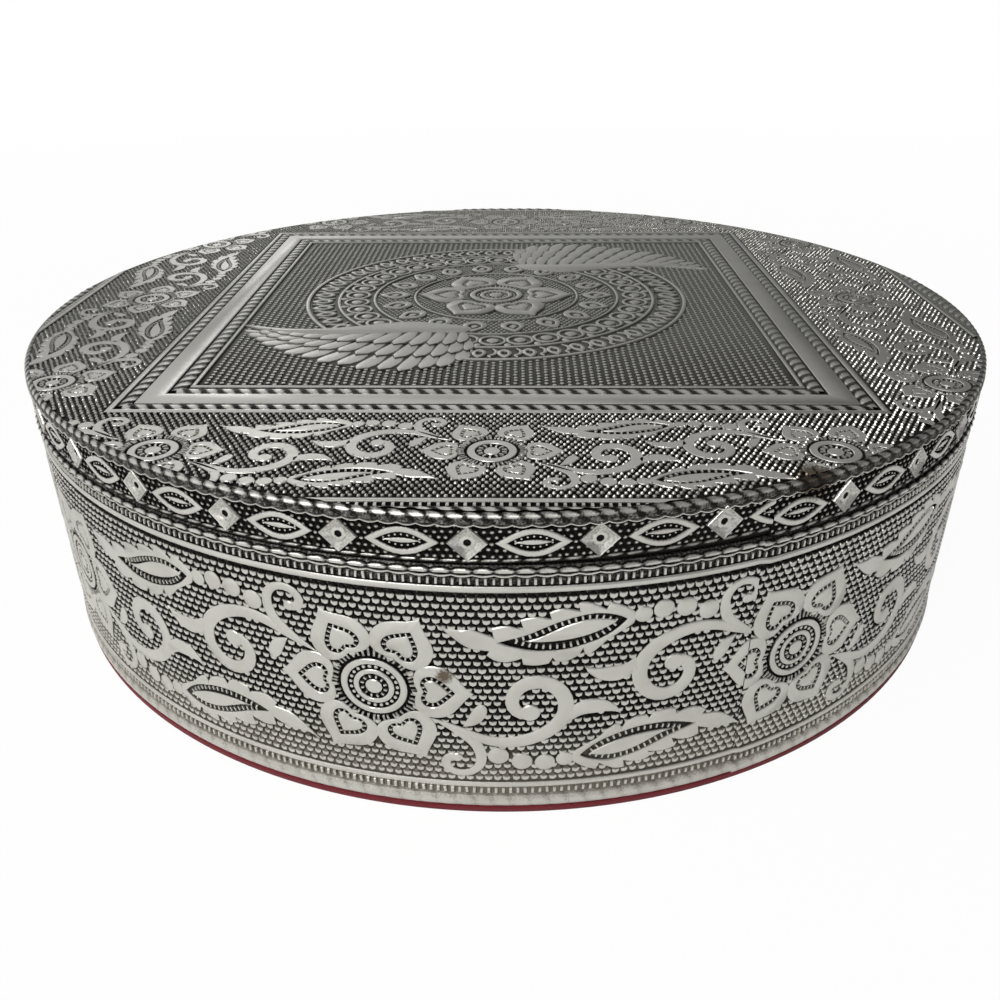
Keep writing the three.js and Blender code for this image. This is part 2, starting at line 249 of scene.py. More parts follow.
# Rolled edge or rope: a profile of up and out, pressed in between leaning strands
def rope(profile, length, pitch, lean=0.8, depth=0.3, notch=0.3, soot=0.8, scallop=0.0,
         wears=(0.35, 1.0, 0.35), closed=True, start=0.0, steps=8):
    profile = np.asarray(profile, float)
    normals = -leftOf(unit(np.gradient(profile, axis=0)))
    strands = round(length / pitch)
    columns = strands * steps + (0 if closed else 1)
    right = start + length * np.arange(columns) / (strands * steps)
    t = np.linspace(0, 1, len(profile))[:, None]
    bulge = np.abs(np.sin(math.pi * (np.arange(columns) / steps - lean * t))) ** notch
    crest = np.sin(math.pi * np.clip(t, 0.1, 0.9))
    press = -depth * (1 - bulge) * crest
    up = profile[:, :1] + normals[:, :1] * press
    up = up + scallop * (1 - bulge) * np.where(t > 0.5, -1, 1) * (1 - crest)
    out = profile[:, 1:] + normals[:, 1:] * press
    points = np.stack([np.broadcast_to(right, up.shape), up, out], axis=-1).reshape(-1, 3)
    soot = np.interp(t, np.linspace(0, 1, len(np.atleast_1d(soot))), np.atleast_1d(soot))
    wear = np.interp(t, np.linspace(0, 1, len(wears)), wears) * (1 - soot * (1 - bulge ** 2))
    return points, skin(len(t), columns, closed), wear.ravel()


def archProfile(bottom, top, height, steps=5):  # half-round from one edge to the other
    turn = math.pi * np.arange(steps + 1) / steps
    up = (top + bottom) / 2 - (top - bottom) / 2 * np.cos(turn)
    foot = footing["foot"]
    return np.column_stack([up, foot + (height - foot) * np.sin(turn) ** 0.7])


def lineProfile(bottom, top, height=0.55, shoulder=0.25, flank=footing["lineFlank"]):
    out, up, flankWear = flank
    return [(bottom, footing["foot"], 0), (bottom + out * shoulder, up * height, flankWear),
            (bottom + shoulder, height, 1), (top - shoulder, height, 1),
            (top - out * shoulder, up * height, flankWear), (top, footing["foot"], 0)]


def line(rows, length, steps, closed=True):  # plain raised line
    columns = steps if closed else steps + 1
    right = length * np.arange(columns) / steps
    return fromRows([(np.column_stack([right, np.full(columns, up)]), out, w) for up, out, w in rows], closed)


def scallopedLine(bottom, top, height, pitch, hang):  # line that hangs in shallow arcs, once round
    arcs = round(aroundWall / pitch)
    patch = line(lineProfile(bottom, top, height, 0.08), aroundWall, 8 * arcs)
    patch[0][:, 1] -= hang * np.abs(np.sin(math.pi * arcs * patch[0][:, 0] / aroundWall))
    return patch


# Cuts faces where a signed distance changes sign
def split(patch, distance):
    points, faces, wear = patch
    distance = np.where(np.abs(distance) < 1e-4, 1e-4, distance)
    inside = (distance > 0)[faces]
    count = inside.sum(axis=1)
    crossing = (count == 1) | (count == 2)
    if not crossing.any():
        return patch, distance
    cut, within = faces[crossing], inside[crossing]
    lone = np.where(count[crossing] == 1, within.argmax(axis=1), (~within).argmax(axis=1))
    a, b, c = (np.take_along_axis(cut, ((lone + k) % 3)[:, None], axis=1)[:, 0] for k in (0, 1, 2))
    both = np.column_stack([points, wear])
    added = [both[a] + (both[end] - both[a]) * (distance[a] / (distance[a] - distance[end]))[:, None]
             for end in (b, c)]
    p = len(points) + np.arange(len(cut))
    q = p + len(cut)
    pieces = [np.column_stack(corners) for corners in ((a, p, q), (p, b, c), (p, c, q))]
    faces = np.vstack([faces[~crossing]] + pieces)
    both = np.vstack([both] + added)
    return (both[:, :3], faces, both[:, 3]), np.concatenate([distance, np.zeros(2 * len(cut))])


def clip(patch, distance):  # keeps what lies at positive distance
    patch, distance = split(patch, distance)
    keep = distance[patch[1]].sum(axis=1) > 0
    return patch[0], patch[1][keep], patch[2]


def sliced(patch, step):  # upright cuts, so that wide plates bend with the wall
    low, high = patch[0][:, 0].min(), patch[0][:, 0].max()
    for place in np.arange(low + step, high, step):
        patch = split(patch, patch[0][:, 0] - place)[0]
    return patch


def roundWall(points):
    angle, reach = points[:, 0] / boxRadius, np.minimum(boxRadius + points[:, 2], widest)
    return np.column_stack([reach * np.sin(angle), -reach * np.cos(angle), points[:, 1]])


def ontoLid(points):
    return np.minimum(points + (0, 0, lidTop), (widest, widest, highest))


def bent(patch, mapping):
    return mapping(patch[0]), patch[1], patch[2]


def insideDepth(places, outline):  # how deep a place lies inside an outline, negative outside
    near = np.all((places > outline.min(0) - 1) & (places < outline.max(0) + 1), axis=1)
    depth = np.full(len(places), -9.0)
    if not near.any():
        return depth
    p = places[near][:, None]
    a, b = outline[None], np.roll(outline, -1, axis=0)[None]
    along = np.clip(np.sum((p - a) * (b - a), axis=2) / np.maximum(np.sum((b - a) ** 2, axis=2), 1e-9), 0, 1)
    distance = np.linalg.norm(p - a - along[..., None] * (b - a), axis=2).min(axis=1)
    rise = np.where(b[..., 1] == a[..., 1], 1e-9, b[..., 1] - a[..., 1])
    beside = p[..., 0] < a[..., 0] + (p[..., 1] - a[..., 1]) * (b[..., 0] - a[..., 0]) / rise
    crosses = ((a[..., 1] > p[..., 1]) != (b[..., 1] > p[..., 1])) & beside
    depth[near] = np.where(crosses.sum(axis=1) % 2 == 1, distance, -distance)
    return depth


def clearOf(places, outlines, margin=0.25):  # leaves out the beads that a plate would hide
    keep = [insideDepth(places, outline) < margin for outline in outlines]
    return places[np.all(keep, axis=0)]


def addObject(name, data):
    added = bpy.data.objects.new(name, data)
    bpy.context.scene.collection.objects.link(added)
    return added


def makeObject(name, patches, sharpDegrees=38, weld=0.0005):
    points, faces, wear = join(patches)
    mesh = bpy.data.meshes.new(name)
    mesh.from_pydata((points * metresPerMm).tolist(), [], faces.tolist())
    mesh.attributes.new("wear", "FLOAT", "POINT").data.foreach_set("value", wear.astype(np.float32))
    bm = bmesh.new()
    bm.from_mesh(mesh)
    bmesh.ops.remove_doubles(bm, verts=bm.verts, dist=weld * metresPerMm)
    bmesh.ops.dissolve_degenerate(bm, edges=bm.edges, dist=weld * metresPerMm)
    bmesh.ops.delete(bm, geom=[v for v in bm.verts if not v.link_faces], context="VERTS")
    bm.to_mesh(mesh)
    bm.free()
    mesh.shade_smooth()
    mesh.set_sharp_from_angle(angle=math.radians(sharpDegrees))
    print(f"{name}: {len(mesh.polygons)} faces")
    return addObject(name, mesh)


# Turned body of a sheet or pad from a closed profile of radius and height
def turnedBody(profile, steps=240, closed=True):
    profile = list(profile) + ([profile[0]] if closed else [])
    return bent(line([(z, r - boxRadius, 0) for r, z in profile], aroundWall, steps), roundWall)


def discPatch(radius, height, up, steps=240):
    points = np.vstack([turnedBody([(radius, height)], steps, closed=False)[0], [[0, 0, height]]])
    a = np.arange(steps)
    faces = np.column_stack([a, (a + 1) % steps, np.full(steps, steps)])
    return points, faces if up else faces[:, ::-1], np.zeros(steps + 1)


# Flower and arms. Outlines are in mm as they lie on the wall, with the flower's middle at the origin:
# the upper half of a petal that points right, and the left arm. The right arm is the same, turned round.
flowerWork = {
    "repeat": 69.8,  # from flower to flower
    "petals": 6,
    "petal": [(15.5, 0), (14.3, 1.15), (13.1, 2.8), (12.0, 4.1), (10.7, 4.85), (9.0, 5.05), (7.5, 4.6),
              (6.6, 3.7), (6.25, 2.4), (6.45, 0.9), (6.75, 0)],
    "groove": [(12.5, 0), (11.75, 0.85), (10.65, 2.0), (9.6, 2.72), (8.5, 2.82), (7.75, 2.35), (7.4, 1.45),
               (7.6, 0.6), (7.95, 0)],
    "heart": [(11.75, 0), (10.85, 0.95), (9.95, 1.8), (9.0, 2.2), (8.2, 1.95), (7.85, 1.15), (8.3, 0)],
    "ring": (5.35, 4.15),
    "innerRing": (3.3, 2.35),
    "middle": 1.4,
    "lidRing": (5.2, 3.45),
    "lidMiddle": 1.75,
    "petalMiddle": 9.4,
    "heartTicks": (0.86, 0.8, 0.34, 0.87),  # pitch, length, width, and share of the groove
    "ringBead": (0.36, 0.42, 6),
    "rays": 46,
    "rayReach": (5.5, 7.5),
    "rayWear": 0.6,
    "rayShare": 1.27,  # of the ring, which the ground's beads leave clear
}
armWork = {
    "leaf": [(-59.9, 12.75), (-58, 12.05), (-56, 11.95), (-54.5, 12.0), (-53, 11.5), (-51.45, 10.85),
             (-51.7, 12.35), (-50.3, 12.75), (-48.8, 12.7), (-47.05, 12.15), (-47.6, 13.8), (-46.5, 14.15),
             (-44.8, 14.25), (-43.1, 13.9), (-43.4, 14.95), (-42.3, 15.45), (-40.8, 15.55), (-39, 15.1),
             (-39.2, 16.35), (-38.4, 16.55), (-37, 16.25), (-35.05, 15.0), (-34.5, 16.2), (-33.4, 15.8),
             (-32, 15.05), (-30.6, 13.9), (-30.5, 13.0), (-30.8, 11.85), (-32.3, 10.85), (-33.7, 9.95),
             (-34.6, 9.35), (-35.7, 8.2), (-37.1, 7.1), (-37.95, 7.0), (-38.25, 8.1), (-38.7, 7.1),
             (-39.2, 6.7), (-40.55, 6.0), (-42.2, 5.9), (-42.7, 6.7), (-43.2, 5.7), (-44.5, 5.45),
             (-45.8, 5.4), (-47.1, 5.65), (-47.3, 6.75), (-48.6, 6.25), (-50, 6.1), (-51.4, 6.5),
             (-52.5, 7.4), (-52.1, 8.1), (-53.3, 8.25), (-54.7, 8.5), (-56.1, 9.3), (-57.6, 10.65),
             (-59, 12.0)],
    "groove": [(-50.5, 9.75), (-48.5, 10.35), (-46.5, 11.0), (-44.5, 11.95), (-42.5, 12.85), (-40.5, 13.55),
               (-38.5, 14.05), (-36.5, 14.25), (-34.5, 13.95), (-33, 13.45), (-31.9, 12.8), (-32.8, 11.85),
               (-34, 10.85), (-35.5, 9.95), (-37, 9.35), (-39, 8.7), (-41, 8.3), (-43, 8.2), (-45, 8.25),
               (-46.8, 8.55), (-48.6, 9.05)],
    "seed": [(-47, 9.9), (-45, 10.45), (-43, 11.4), (-41, 12.4), (-39, 13.05), (-37, 13.35), (-35, 13.25),
             (-33.1, 12.8), (-34, 12.1), (-35.5, 11.3), (-37.3, 10.6), (-39, 10.15), (-41, 9.8),
             (-43, 9.65), (-45, 9.65)],
    "leafMiddle": (-39.5, 11.4),
    "leafTicks": (1.02, 1.05, 0.82),  # pitch, length, and share of the groove
    "discs": [(-29.4, 13.3, 1.45), (-26.3, 13.8, 1.68), (-22.7, 13.5, 1.72), (-19, 12.3, 1.75)],
    "scroll": [(-8.7, 5.1), (-11.24, 6.25), (-14.05, 7.6), (-16.55, 8.8), (-19.05, 9.4), (-21.55, 9.4),
               (-24.05, 8.8), (-26.55, 7.5), (-28.45, 5.6), (-29.3, 3.4), (-29.1, 1.0), (-27.9, -1.0),
               (-26.05, -2.2), (-24.05, -2.25), (-22.2, -1.3), (-21.2, 0.6), (-21.35, 2.5), (-22.6, 3.8),
               (-23.9, 3.6)],
    "scrollWidths": [0.15, 1.1, 1.6, 1.9, 2.1, 2.3, 2.45, 2.6, 2.7, 2.6, 2.55, 2.65, 2.65, 2.6, 2.45, 2.3,
                     2.2, 2.2, 2.6],
    "scrollBulb": 1.65,
    "tail": [(-38.1, 5.15), (-37, 4.6), (-35.5, 4.35), (-34, 4.45), (-32.5, 4.5), (-31.4, 4.8), (-30, 5.7),
             (-29.5, 3.5), (-30.5, 2.4), (-31.4, 1.95), (-32.5, 1.5), (-34, 1.5), (-35.5, 1.95),
             (-36.5, 2.7), (-37.4, 3.65)],
    "curl": [(-8.7, 5.1), (-11.24, 6.4), (-13.54, 8.1), (-15.3, 9.6), (-16.1, 11.2), (-16.35, 13.0),
             (-15.95, 14.5), (-14.8, 15.7), (-13.14, 16.05), (-11.53, 15.5), (-10.72, 14.2),
             (-11.19, 12.95), (-12.56, 12.75)],
    "curlWidths": [0.15, 1.1, 1.5, 1.9, 2.0, 1.8, 1.65, 1.5, 1.45, 1.5, 1.65, 1.75, 1.7],
    "curlBulb": 0.95,
    "bulbRise": 0.05,  # above the band that ends in it
    "leaflet": [(-13.49, 6.55), (-15.3, 6.25), (-16.5, 5.35), (-17.3, 4.0), (-17.4, 2.8), (-16.9, 1.95),
                (-16.1, 2.1), (-15.3, 2.75), (-14.7, 3.9), (-14.1, 5.2)],
}
# Heights of petals and of hearts, on the wall and, struck lower, on the lid
raisedParts = {True: ({"height": 0.58, "shoulder": 0.24}, {"height": 0.5, "shoulder": 0.2}),
               False: ({"height": 0.42, "shoulder": 0.13}, {"height": 0.38, "shoulder": 0.11})}


def mirrored(points):  # the other half of an outline that starts and ends on its own axis
    points = np.asarray(points, float)
    return np.vstack([points, points[-2:0:-1] * (1, -1)])


def alongLoop(loop, count):  # places and directions at even steps round a loop
    ends = np.vstack([loop, loop[:1]])
    run = np.concatenate([[0], np.cumsum(np.linalg.norm(np.diff(ends, axis=0), axis=1))])
    at = run[-1] * (np.arange(count) + 0.5) / count
    places, ahead = (np.column_stack([np.interp(s, run, ends[:, k]) for k in (0, 1)])
                     for s in (at, (at + 0.05) % run[-1]))
    return places, np.arctan2(*(ahead - places).T[::-1])


def grooveTicks(loop, pitch, length, width=0.42):
    perimeter = np.linalg.norm(loop - np.roll(loop, 1, axis=0), axis=1).sum()
    places, turns = alongLoop(loop, max(round(perimeter / pitch), 4))
    return scatter(tick(length, width, 0.44), places, turns)


def makeFlower(size, fine=True):
    work = flowerWork
    scale = size / work["repeat"]
    high, low = raisedParts[fine]
    petal, groove, heart = (cornered(mirrored(work[name]) * scale, 3 if fine else 2)
                            for name in ("petal", "groove", "heart"))
    middle = np.array([work["petalMiddle"] * scale, 0])
    if not fine:  # narrower petals with a gap between, in the thin sheet of the lid
        along, across, outward = lidSheetWork["petalShape"]
        petal, groove, heart, middle = (loop * (along, across) + (outward, 0)
                                        for loop in (petal, groove, heart, middle))
    pitch, length, width, share = work["heartTicks"]
    ticks = grooveTicks(middle + (groove - middle) * share, pitch, length * scale, width)
    turns = evenAngles(work["petals"])
    patches = [placed(shape, turn=turn) for turn in turns
               for shape in (plate(petal, [groove], **high), plate(heart, **low), ticks)]
    outlines = [spun(petal, turn) for turn in turns]
    outer, inner = (r * scale for r in work["ring" if fine else "lidRing"])
    patches.append(plate(roundLoop(outer, 40), [roundLoop(inner, 36)], **high))
    outlines.append(roundLoop(outer * work["rayShare"], 24))
    edge = inner
    if fine:
        secondOuter, edge = (r * scale for r in work["innerRing"])
        patches.append(plate(roundLoop(secondOuter, 30), [roundLoop(edge, 24)], **low))
        patches.append(scatter(dome(*work["ringBead"]), spun(roundLoop((inner + secondOuter) / 2, 23), 0.05)))
    knob = work["middle" if fine else "lidMiddle"] * scale
    patches.append(grooveTicks(roundLoop((knob + edge) / 2, 24), 0.95, (edge - knob) * 0.8, 0.4))
    patches.append(plate(roundLoop(knob, 16), **low))
    first, last = (r * scale for r in work["rayReach"])
    count = work["rays"]
    angles = evenAngles(count, random.uniform(-0.2, 0.2, count))
    places, sizes = (first + last) / 2 * facing(angles), 1 + random.normal(0, 0.07, count)
    points, faces, wear = scatter(tick(last - first, 0.48, 0.44), places, angles - math.pi / 2, sizes)
    return join(patches + [(points, faces, wear * work["rayWear"])]), outlines


def makeArm(size, fine=True):
    work = armWork
    scale = size / flowerWork["repeat"]
    high, low = raisedParts[fine]
    leaf, groove, seed = (cornered(np.array(work[name]) * scale, 1 if name == "leaf" and not fine else 2)
                          for name in ("leaf", "groove", "seed"))
    middle = np.array(work["leafMiddle"]) * scale
    pitch, length, share = work["leafTicks"]
    border = middle + (groove - middle) * share
    patches = [plate(leaf, [groove], **high), plate(seed, **low), grooveTicks(border, pitch, length * scale)]
    outlines = [leaf]

    def add(loop, **shape):
        patches.append(plate(loop, **{**high, **shape}))
        outlines.append(loop)

    for x, y, radius in work["discs"]:
        add(roundLoop(radius * scale, 20 if fine else 14) + np.array([x, y]) * scale)
    for name in ("scroll", "curl"):
        path = smooth(np.array(work[name]) * scale, 2)
        body, sides = ribbon(path, np.array(work[name + "Widths"]) * scale, **high)
        patches.append(body)
        outlines.append(sides)
        add(roundLoop(work[name + "Bulb"] * scale, 14) + path[-1], height=high["height"] + work["bulbRise"])
    for name in ("tail", "leaflet"):
        add(cornered(np.array(work[name]) * scale, 2))
    return join(patches), outlines


def hexPlaces(width, height, pitch, rowPitch, offset=0.0):
    columns, rows = round(width / pitch), int(height / rowPitch)
    spare = (height - rows * rowPitch) / 2
    return np.array([((i + (j % 2) / 2) * width / columns + offset, spare + (j + 0.5) * rowPitch)
                     for j in range(rows) for i in range(columns)])


def roughen(places, amount):  # struck by hand, so never quite in line
    return places + random.normal(0, amount, places.shape)


# Sheet round the base
baseSheetWork = {
    "flowers": 9,
    "frontFlowerDegrees": -10.67,
    "middle": 24.6,
    "lowerLine": (5.5, 6.6),
    "upperLine": (43.0, 44.1),
    "rimTicks": {"up": 44.85, "length": 1.3, "pitch": 1.17, "width": 0.5},
    "footTicks": {"up": 4.7, "length": 1.3, "pitch": 1.17},
    "ropePitch": 3.0,
    "rimRope": (46.22, 47.15, 0.64),
    "rimStrands": {"lean": 0.0, "depth": 0.2, "notch": 0.5, "scallop": 0.6,
                   "wears": (0.2, 1.0, 1.0, 1.0, 0.8, 0.5, 0.2),
                   "soot": (1.0, 1.0, 0.95, 0.7, 0.4, 0.3, 0.2)},
    "rimLip": (45.8, 46.15, 0.34),
    "rimLipHang": 0.3,
    "footRope": (1.3, 3.85, 0.78),
    "footStrands": {"lean": -0.4, "depth": 0.1, "scallop": 0.3, "soot": 0.3,
                    "wears": (0.55, 0.8, 0.8, 0.62, 0.55)},
    "beadPitch": 1.45,
    "beadRow": 1.27,
    # each bead carries painted shade over its upper half
    "bead": {"radius": 0.72, "height": 0.5, "sides": 7, "lean": 0.3, "shade": 0.9},
    "rimWear": 0.4,
    "seam": 40.3,
    "lap": 1.2,
    "lapDrift": (-0.3, 0.1, 30.0),
}


def ornamentUnit(size, fine=True):  # a flower with its two arms
    flower, outlines = makeFlower(size, fine)
    arm, armOutlines = makeArm(size, fine)
    outlines = outlines + armOutlines + [spun(loop, math.pi) for loop in armOutlines]
    return join([flower, arm, placed(arm, turn=math.pi)]), outlines


def ringTicks(up, length, pitch, height=0.46, width=0.62):
    count = round(aroundWall / pitch)
    places = np.column_stack([aroundWall * np.arange(count) / count, np.full(count, up)])
    sizes = 1 + random.normal(0, 0.05, count)
    return scatter(tick(length, width, height), places, random.normal(0, 0.07, count), sizes)


def lapped(patch, seam, drift, before=0.0):  # lifts and lowers a strip where it laps over its own start
    up, out, fade = drift
    points = patch[0].copy()
    past = (points[:, 0] - seam) % aroundWall
    share = np.clip(1 - past / fade, 0, 1)
    points[:, 1] += up * share + before * np.clip(1 - (aroundWall - past) / fade, 0, 1)
    points[:, 2] += out * share * (points[:, 2] > 0)
    return points, patch[1], patch[2]


def lapJoint(patch, seam):  # cuts a strip that has gone once round at its own start
    patch = clip(patch, seam - 0.02 - patch[0][:, 0])
    return clip(patch, patch[0][:, 0] - (seam - aroundWall))


def makeBaseSheet():
    work = baseSheetWork
    repeat = (aroundWall + work["lap"]) / work["flowers"]
    first = math.radians(work["frontFlowerDegrees"]) * boxRadius
    ornament, outlines = ornamentUnit(repeat)
    ornament = sliced(ornament, 5.5)
    low, high = work["lowerLine"][1] + 0.2, work["upperLine"][0] - 0.1
    around = [loop + (shift * repeat, 0) for loop in outlines for shift in (-1, 0, 1)]
    beads = hexPlaces(repeat, high - low, work["beadPitch"], work["beadRow"], offset=-repeat / 2)
    beads = clearOf(beads + (0, low - work["middle"]), around)
    bead = dome(**work["bead"])
    strip = []
    for i in range(-work["flowers"], 3):  # to the left from the seam, once round
        sizes = 1 + random.normal(0, 0.04, len(beads))
        ground = scatter(bead, roughen(beads, 0.035), None, sizes)
        strip += [placed(patch, first + i * repeat, work["middle"]) for patch in (ornament, ground)]
    flat = [lapJoint(join(strip), work["seam"])]
    flat += [line(lineProfile(*work[name]), aroundWall, 360) for name in ("lowerLine", "upperLine")]
    flat += [ringTicks(**work[name]) for name in ("rimTicks", "footTicks")]
    rimRope, footRope = (rope(archProfile(*work[name + "Rope"], steps=6), aroundWall, work["ropePitch"],
                              **work[name + "Strands"]) for name in ("rim", "foot"))
    flat += [rimRope, scallopedLine(*work["rimLip"], work["ropePitch"], work["rimLipHang"]), footRope]
    body = [(96.3, feltTop), (99.7, feltTop), (boxRadius, feltTop + 0.3), (boxRadius, baseRim - 0.35),
            (99.65, baseRim), (96.3, baseRim), (96.3, baseRim - 0.5), (99.5, baseRim - 0.5),
            (99.5, feltTop + 0.5), (96.3, feltTop + 0.5)]
    shell = turnedBody(body)
    shell[2][shell[0][:, 2] > baseRim - 0.4] = work["rimWear"]
    relief = lapped(join(flat), work["seam"], work["lapDrift"])
    return makeObject("base_sheet_embossed", [bent(relief, roundWall), shell])


# Sheet on the lid
lidSheetWork = {
    "artShift": (-0.65, -0.1),
    "edgeRadius": 99.7,
    "borderLine": (95.8, 96.85),
    "borderTicks": 97.35,
    "borderTick": (0.9, 0.62, 0.42),
    "borderTickPitch": 1.25,
    "borderRope": (97.9, 100.4, 0.5),
    "borderHalf": 27.0,
    "petalShape": (0.884, 0.8, 1.04),
    "outerLine": (64.8, 65.9),
    "outerRope": (62.2, 64.7, 0.5),
    "plainBand": (57.9, 62.1),
    "innerRope": (55.0, 57.8, 0.5),
    "innerLine": (53.9, 54.7),
    "framePitch": 2.95,
    "frameStrands": {"lean": -0.9, "depth": 0.3, "notch": 0.55, "soot": (0.9, 1.0, 0.9), "scallop": 0.3,
                     "wears": (0.2, 0.8, 0.95, 0.85, 0.3)},
    "flowerRepeat": 52.4,
    "flowerMiddle": 80.5,
    "beadPitch": 1.12,
    "beadRow": 0.99,
    # each bead carries painted shade over its upper half
    "bead": {"radius": 0.38, "height": 0.6, "sides": 6, "shade": 0.4, "full": (0.72, 0.66)},
    "panelPitch": 1.4,
    "panelBead": {"radius": 0.5, "height": 0.4, "sides": 5, "rubbed": (0.1, 0.7, 0.85)},
    "edge": [(-1.35, 0.3), (-1.2, 0.54), (-0.75, 0.56), (-0.32, 0.58), (-0.05, 0.5), (0.17, 0.28),
             (0.32, 0.02), (0.34, -0.25), (0.05, -0.5)],  # up from the ground and out from the board
    "edgePitch": 2.63,
    "edgeStrands": {"lean": -0.9, "depth": 0.12, "notch": 0.36, "scallop": 0.42,
                    "wears": (0.45, 0.46, 0.44, 0.46, 0.85, 0.75, 0.6, 0.6, 0.4),
                    "soot": (0.3, 0.3, 0.5, 0.8, 0.85, 0.9, 0.9)},
    "fringe": (lidTop - 1.35, lidTop - 1.05, 0.74),
    "fringeHang": 0.36,
}


def squareLine(low, high):  # four mitred lines, low and high from the middle
    points, faces, wear = fromRows([(square * up, out, w) for up, out, w in lineProfile(low, high)])
    return points, faces[:, ::-1], wear


def squareRope(low, high, height, half=None):
    half = half or (low + high) / 2
    work, reach = lidSheetWork, (high - low) / 2
    strip = rope(archProfile(-reach, reach, height), 2 * half, work["framePitch"], closed=False, start=-half,
                 **work["frameStrands"])
    return join([placed(placed(strip, up=-(low + high) / 2), turn=math.pi / 2 * i) for i in range(4)])


medallionWork = {
    "middle": (-1.2, 2.9),
    "rim": (42.5, 43.5),
    "rings": [(35.6, 36.4), (27.6, 28.3), (18.4, 19.0)],
    "drops": 50,
    "drop": [(2.7, 0), (1.6, 1.0), (0.1, 1.5), (-1.4, 1.1), (-2.2, 0)],
    "curl": [(-2.4, 0.2), (-1.0, 0.9), (0.6, 0.5), (1.5, -0.5), (2.5, -0.1)],
    "arches": 36,
    "petals": 18,
    "petal": [(27.0, 0), (25.4, 1.5), (23.6, 2.6), (21.6, 2.3), (19.8, 0)],
    "innerSize": 80.0,
    "grain": (0.4, 0.34, 6),
    "underWing": 0.4,
}
wingWork = {
    "shoulder": [(-53, -22.3), (-44, -24.6), (-36, -24.8), (-28, -22.9), (-20, -20.4), (-14, -20.6),
                 (-5, -23.6), (-6, -27.2), (-14, -26.8), (-24, -28.0), (-36, -28.9), (-46, -26.8)],
    "arm": [(-44, -25.5), (-38, -26.5), (-30, -26), (-22, -25), (-15, -24.5), (-9, -25), (-5, -26)],
    "edge": [(-52.5, -25), (-48.5, -31.5), (-41.5, -39), (-32, -45), (-21.5, -49), (-11.5, -48),
             (-3.5, -42)],
    "rows": [(0.55, 1.0, 15), (0.3, 0.72, 14), (0.02, 0.44, 13)],
}


def makeFeather(root, tip, width, level):
    root, tip = np.asarray(root, float), np.asarray(tip, float)
    t = np.linspace(0, 1, 8)
    spread = np.interp(t, [0, 0.3, 0.62, 0.85, 0.95, 1], [0.4, 0.75, 1.0, 0.8, 0.45, 0.04]) * width / 2
    along = unit((tip - root)[None])
    bend = leftOf(along) * (np.sin(math.pi * t) * 0.05 * np.linalg.norm(tip - root))[:, None]
    spine = root + (tip - root) * t[:, None] + bend
    side = leftOf(np.repeat(along, len(t), axis=0))
    rise = level - 0.1 + 0.22 * t
    rows = [(-1, -0.2, 0), (-0.86, -0.08, 0.2), (-0.66, 0.0, 0.85), (0, 0.03, 0.9), (0.66, 0.0, 0.85),
            (0.86, -0.08, 0.2), (1, -0.2, 0)]
    points = [np.column_stack([spine + side * (spread * k)[:, None], rise + h]) for k, h, w in rows]
    wear = np.concatenate([w * (0.8 + 0.2 * t) for k, h, w in rows])
    return np.vstack(points), skin(len(rows), len(t), closed=False), wear


def makeWing():
    work = wingWork
    arm, edge = smooth(work["arm"], 8), smooth(work["edge"], 8)

    def reachAt(along, share):
        at = along * (len(arm) - 1)
        near, far = (np.array([np.interp(at, np.arange(len(path)), path[:, k]) for k in (0, 1)])
                     for path in (arm, edge))
        return near + (far - near) * share

    base = np.vstack([arm, [reachAt(along, 0.96) for along in np.linspace(1, 0, 20)]])
    patches = [plate(base, height=0.2, shoulder=0.1, topWear=0.0)]
    for row, (start, end, count) in enumerate(work["rows"]):
        for i in range(count):
            along = (i + 0.5 + 0.5 * (row % 2)) / (count + 0.5)
            tip = reachAt(along, end * (0.985 + 0.03 * (i % 2)))
            before, after = (reachAt(along + step / count, end * 0.8) for step in (-0.5, 0.5))
            width = 1.15 * np.linalg.norm(after - before)
            patches.append(makeFeather(reachAt(along * 0.97 + 0.03, start), tip, width, 0.34 + 0.09 * row))
    patches.append(plate(smooth(work["shoulder"], 3, closed=True), height=0.6, shoulder=0.45))
    return join(patches), base


def aroundMiddle(shape, count, radius, turn=0.0):  # shape points away from the middle along right
    return join([placed(placed(shape, right=radius), turn=angle) for angle in evenAngles(count, turn)])


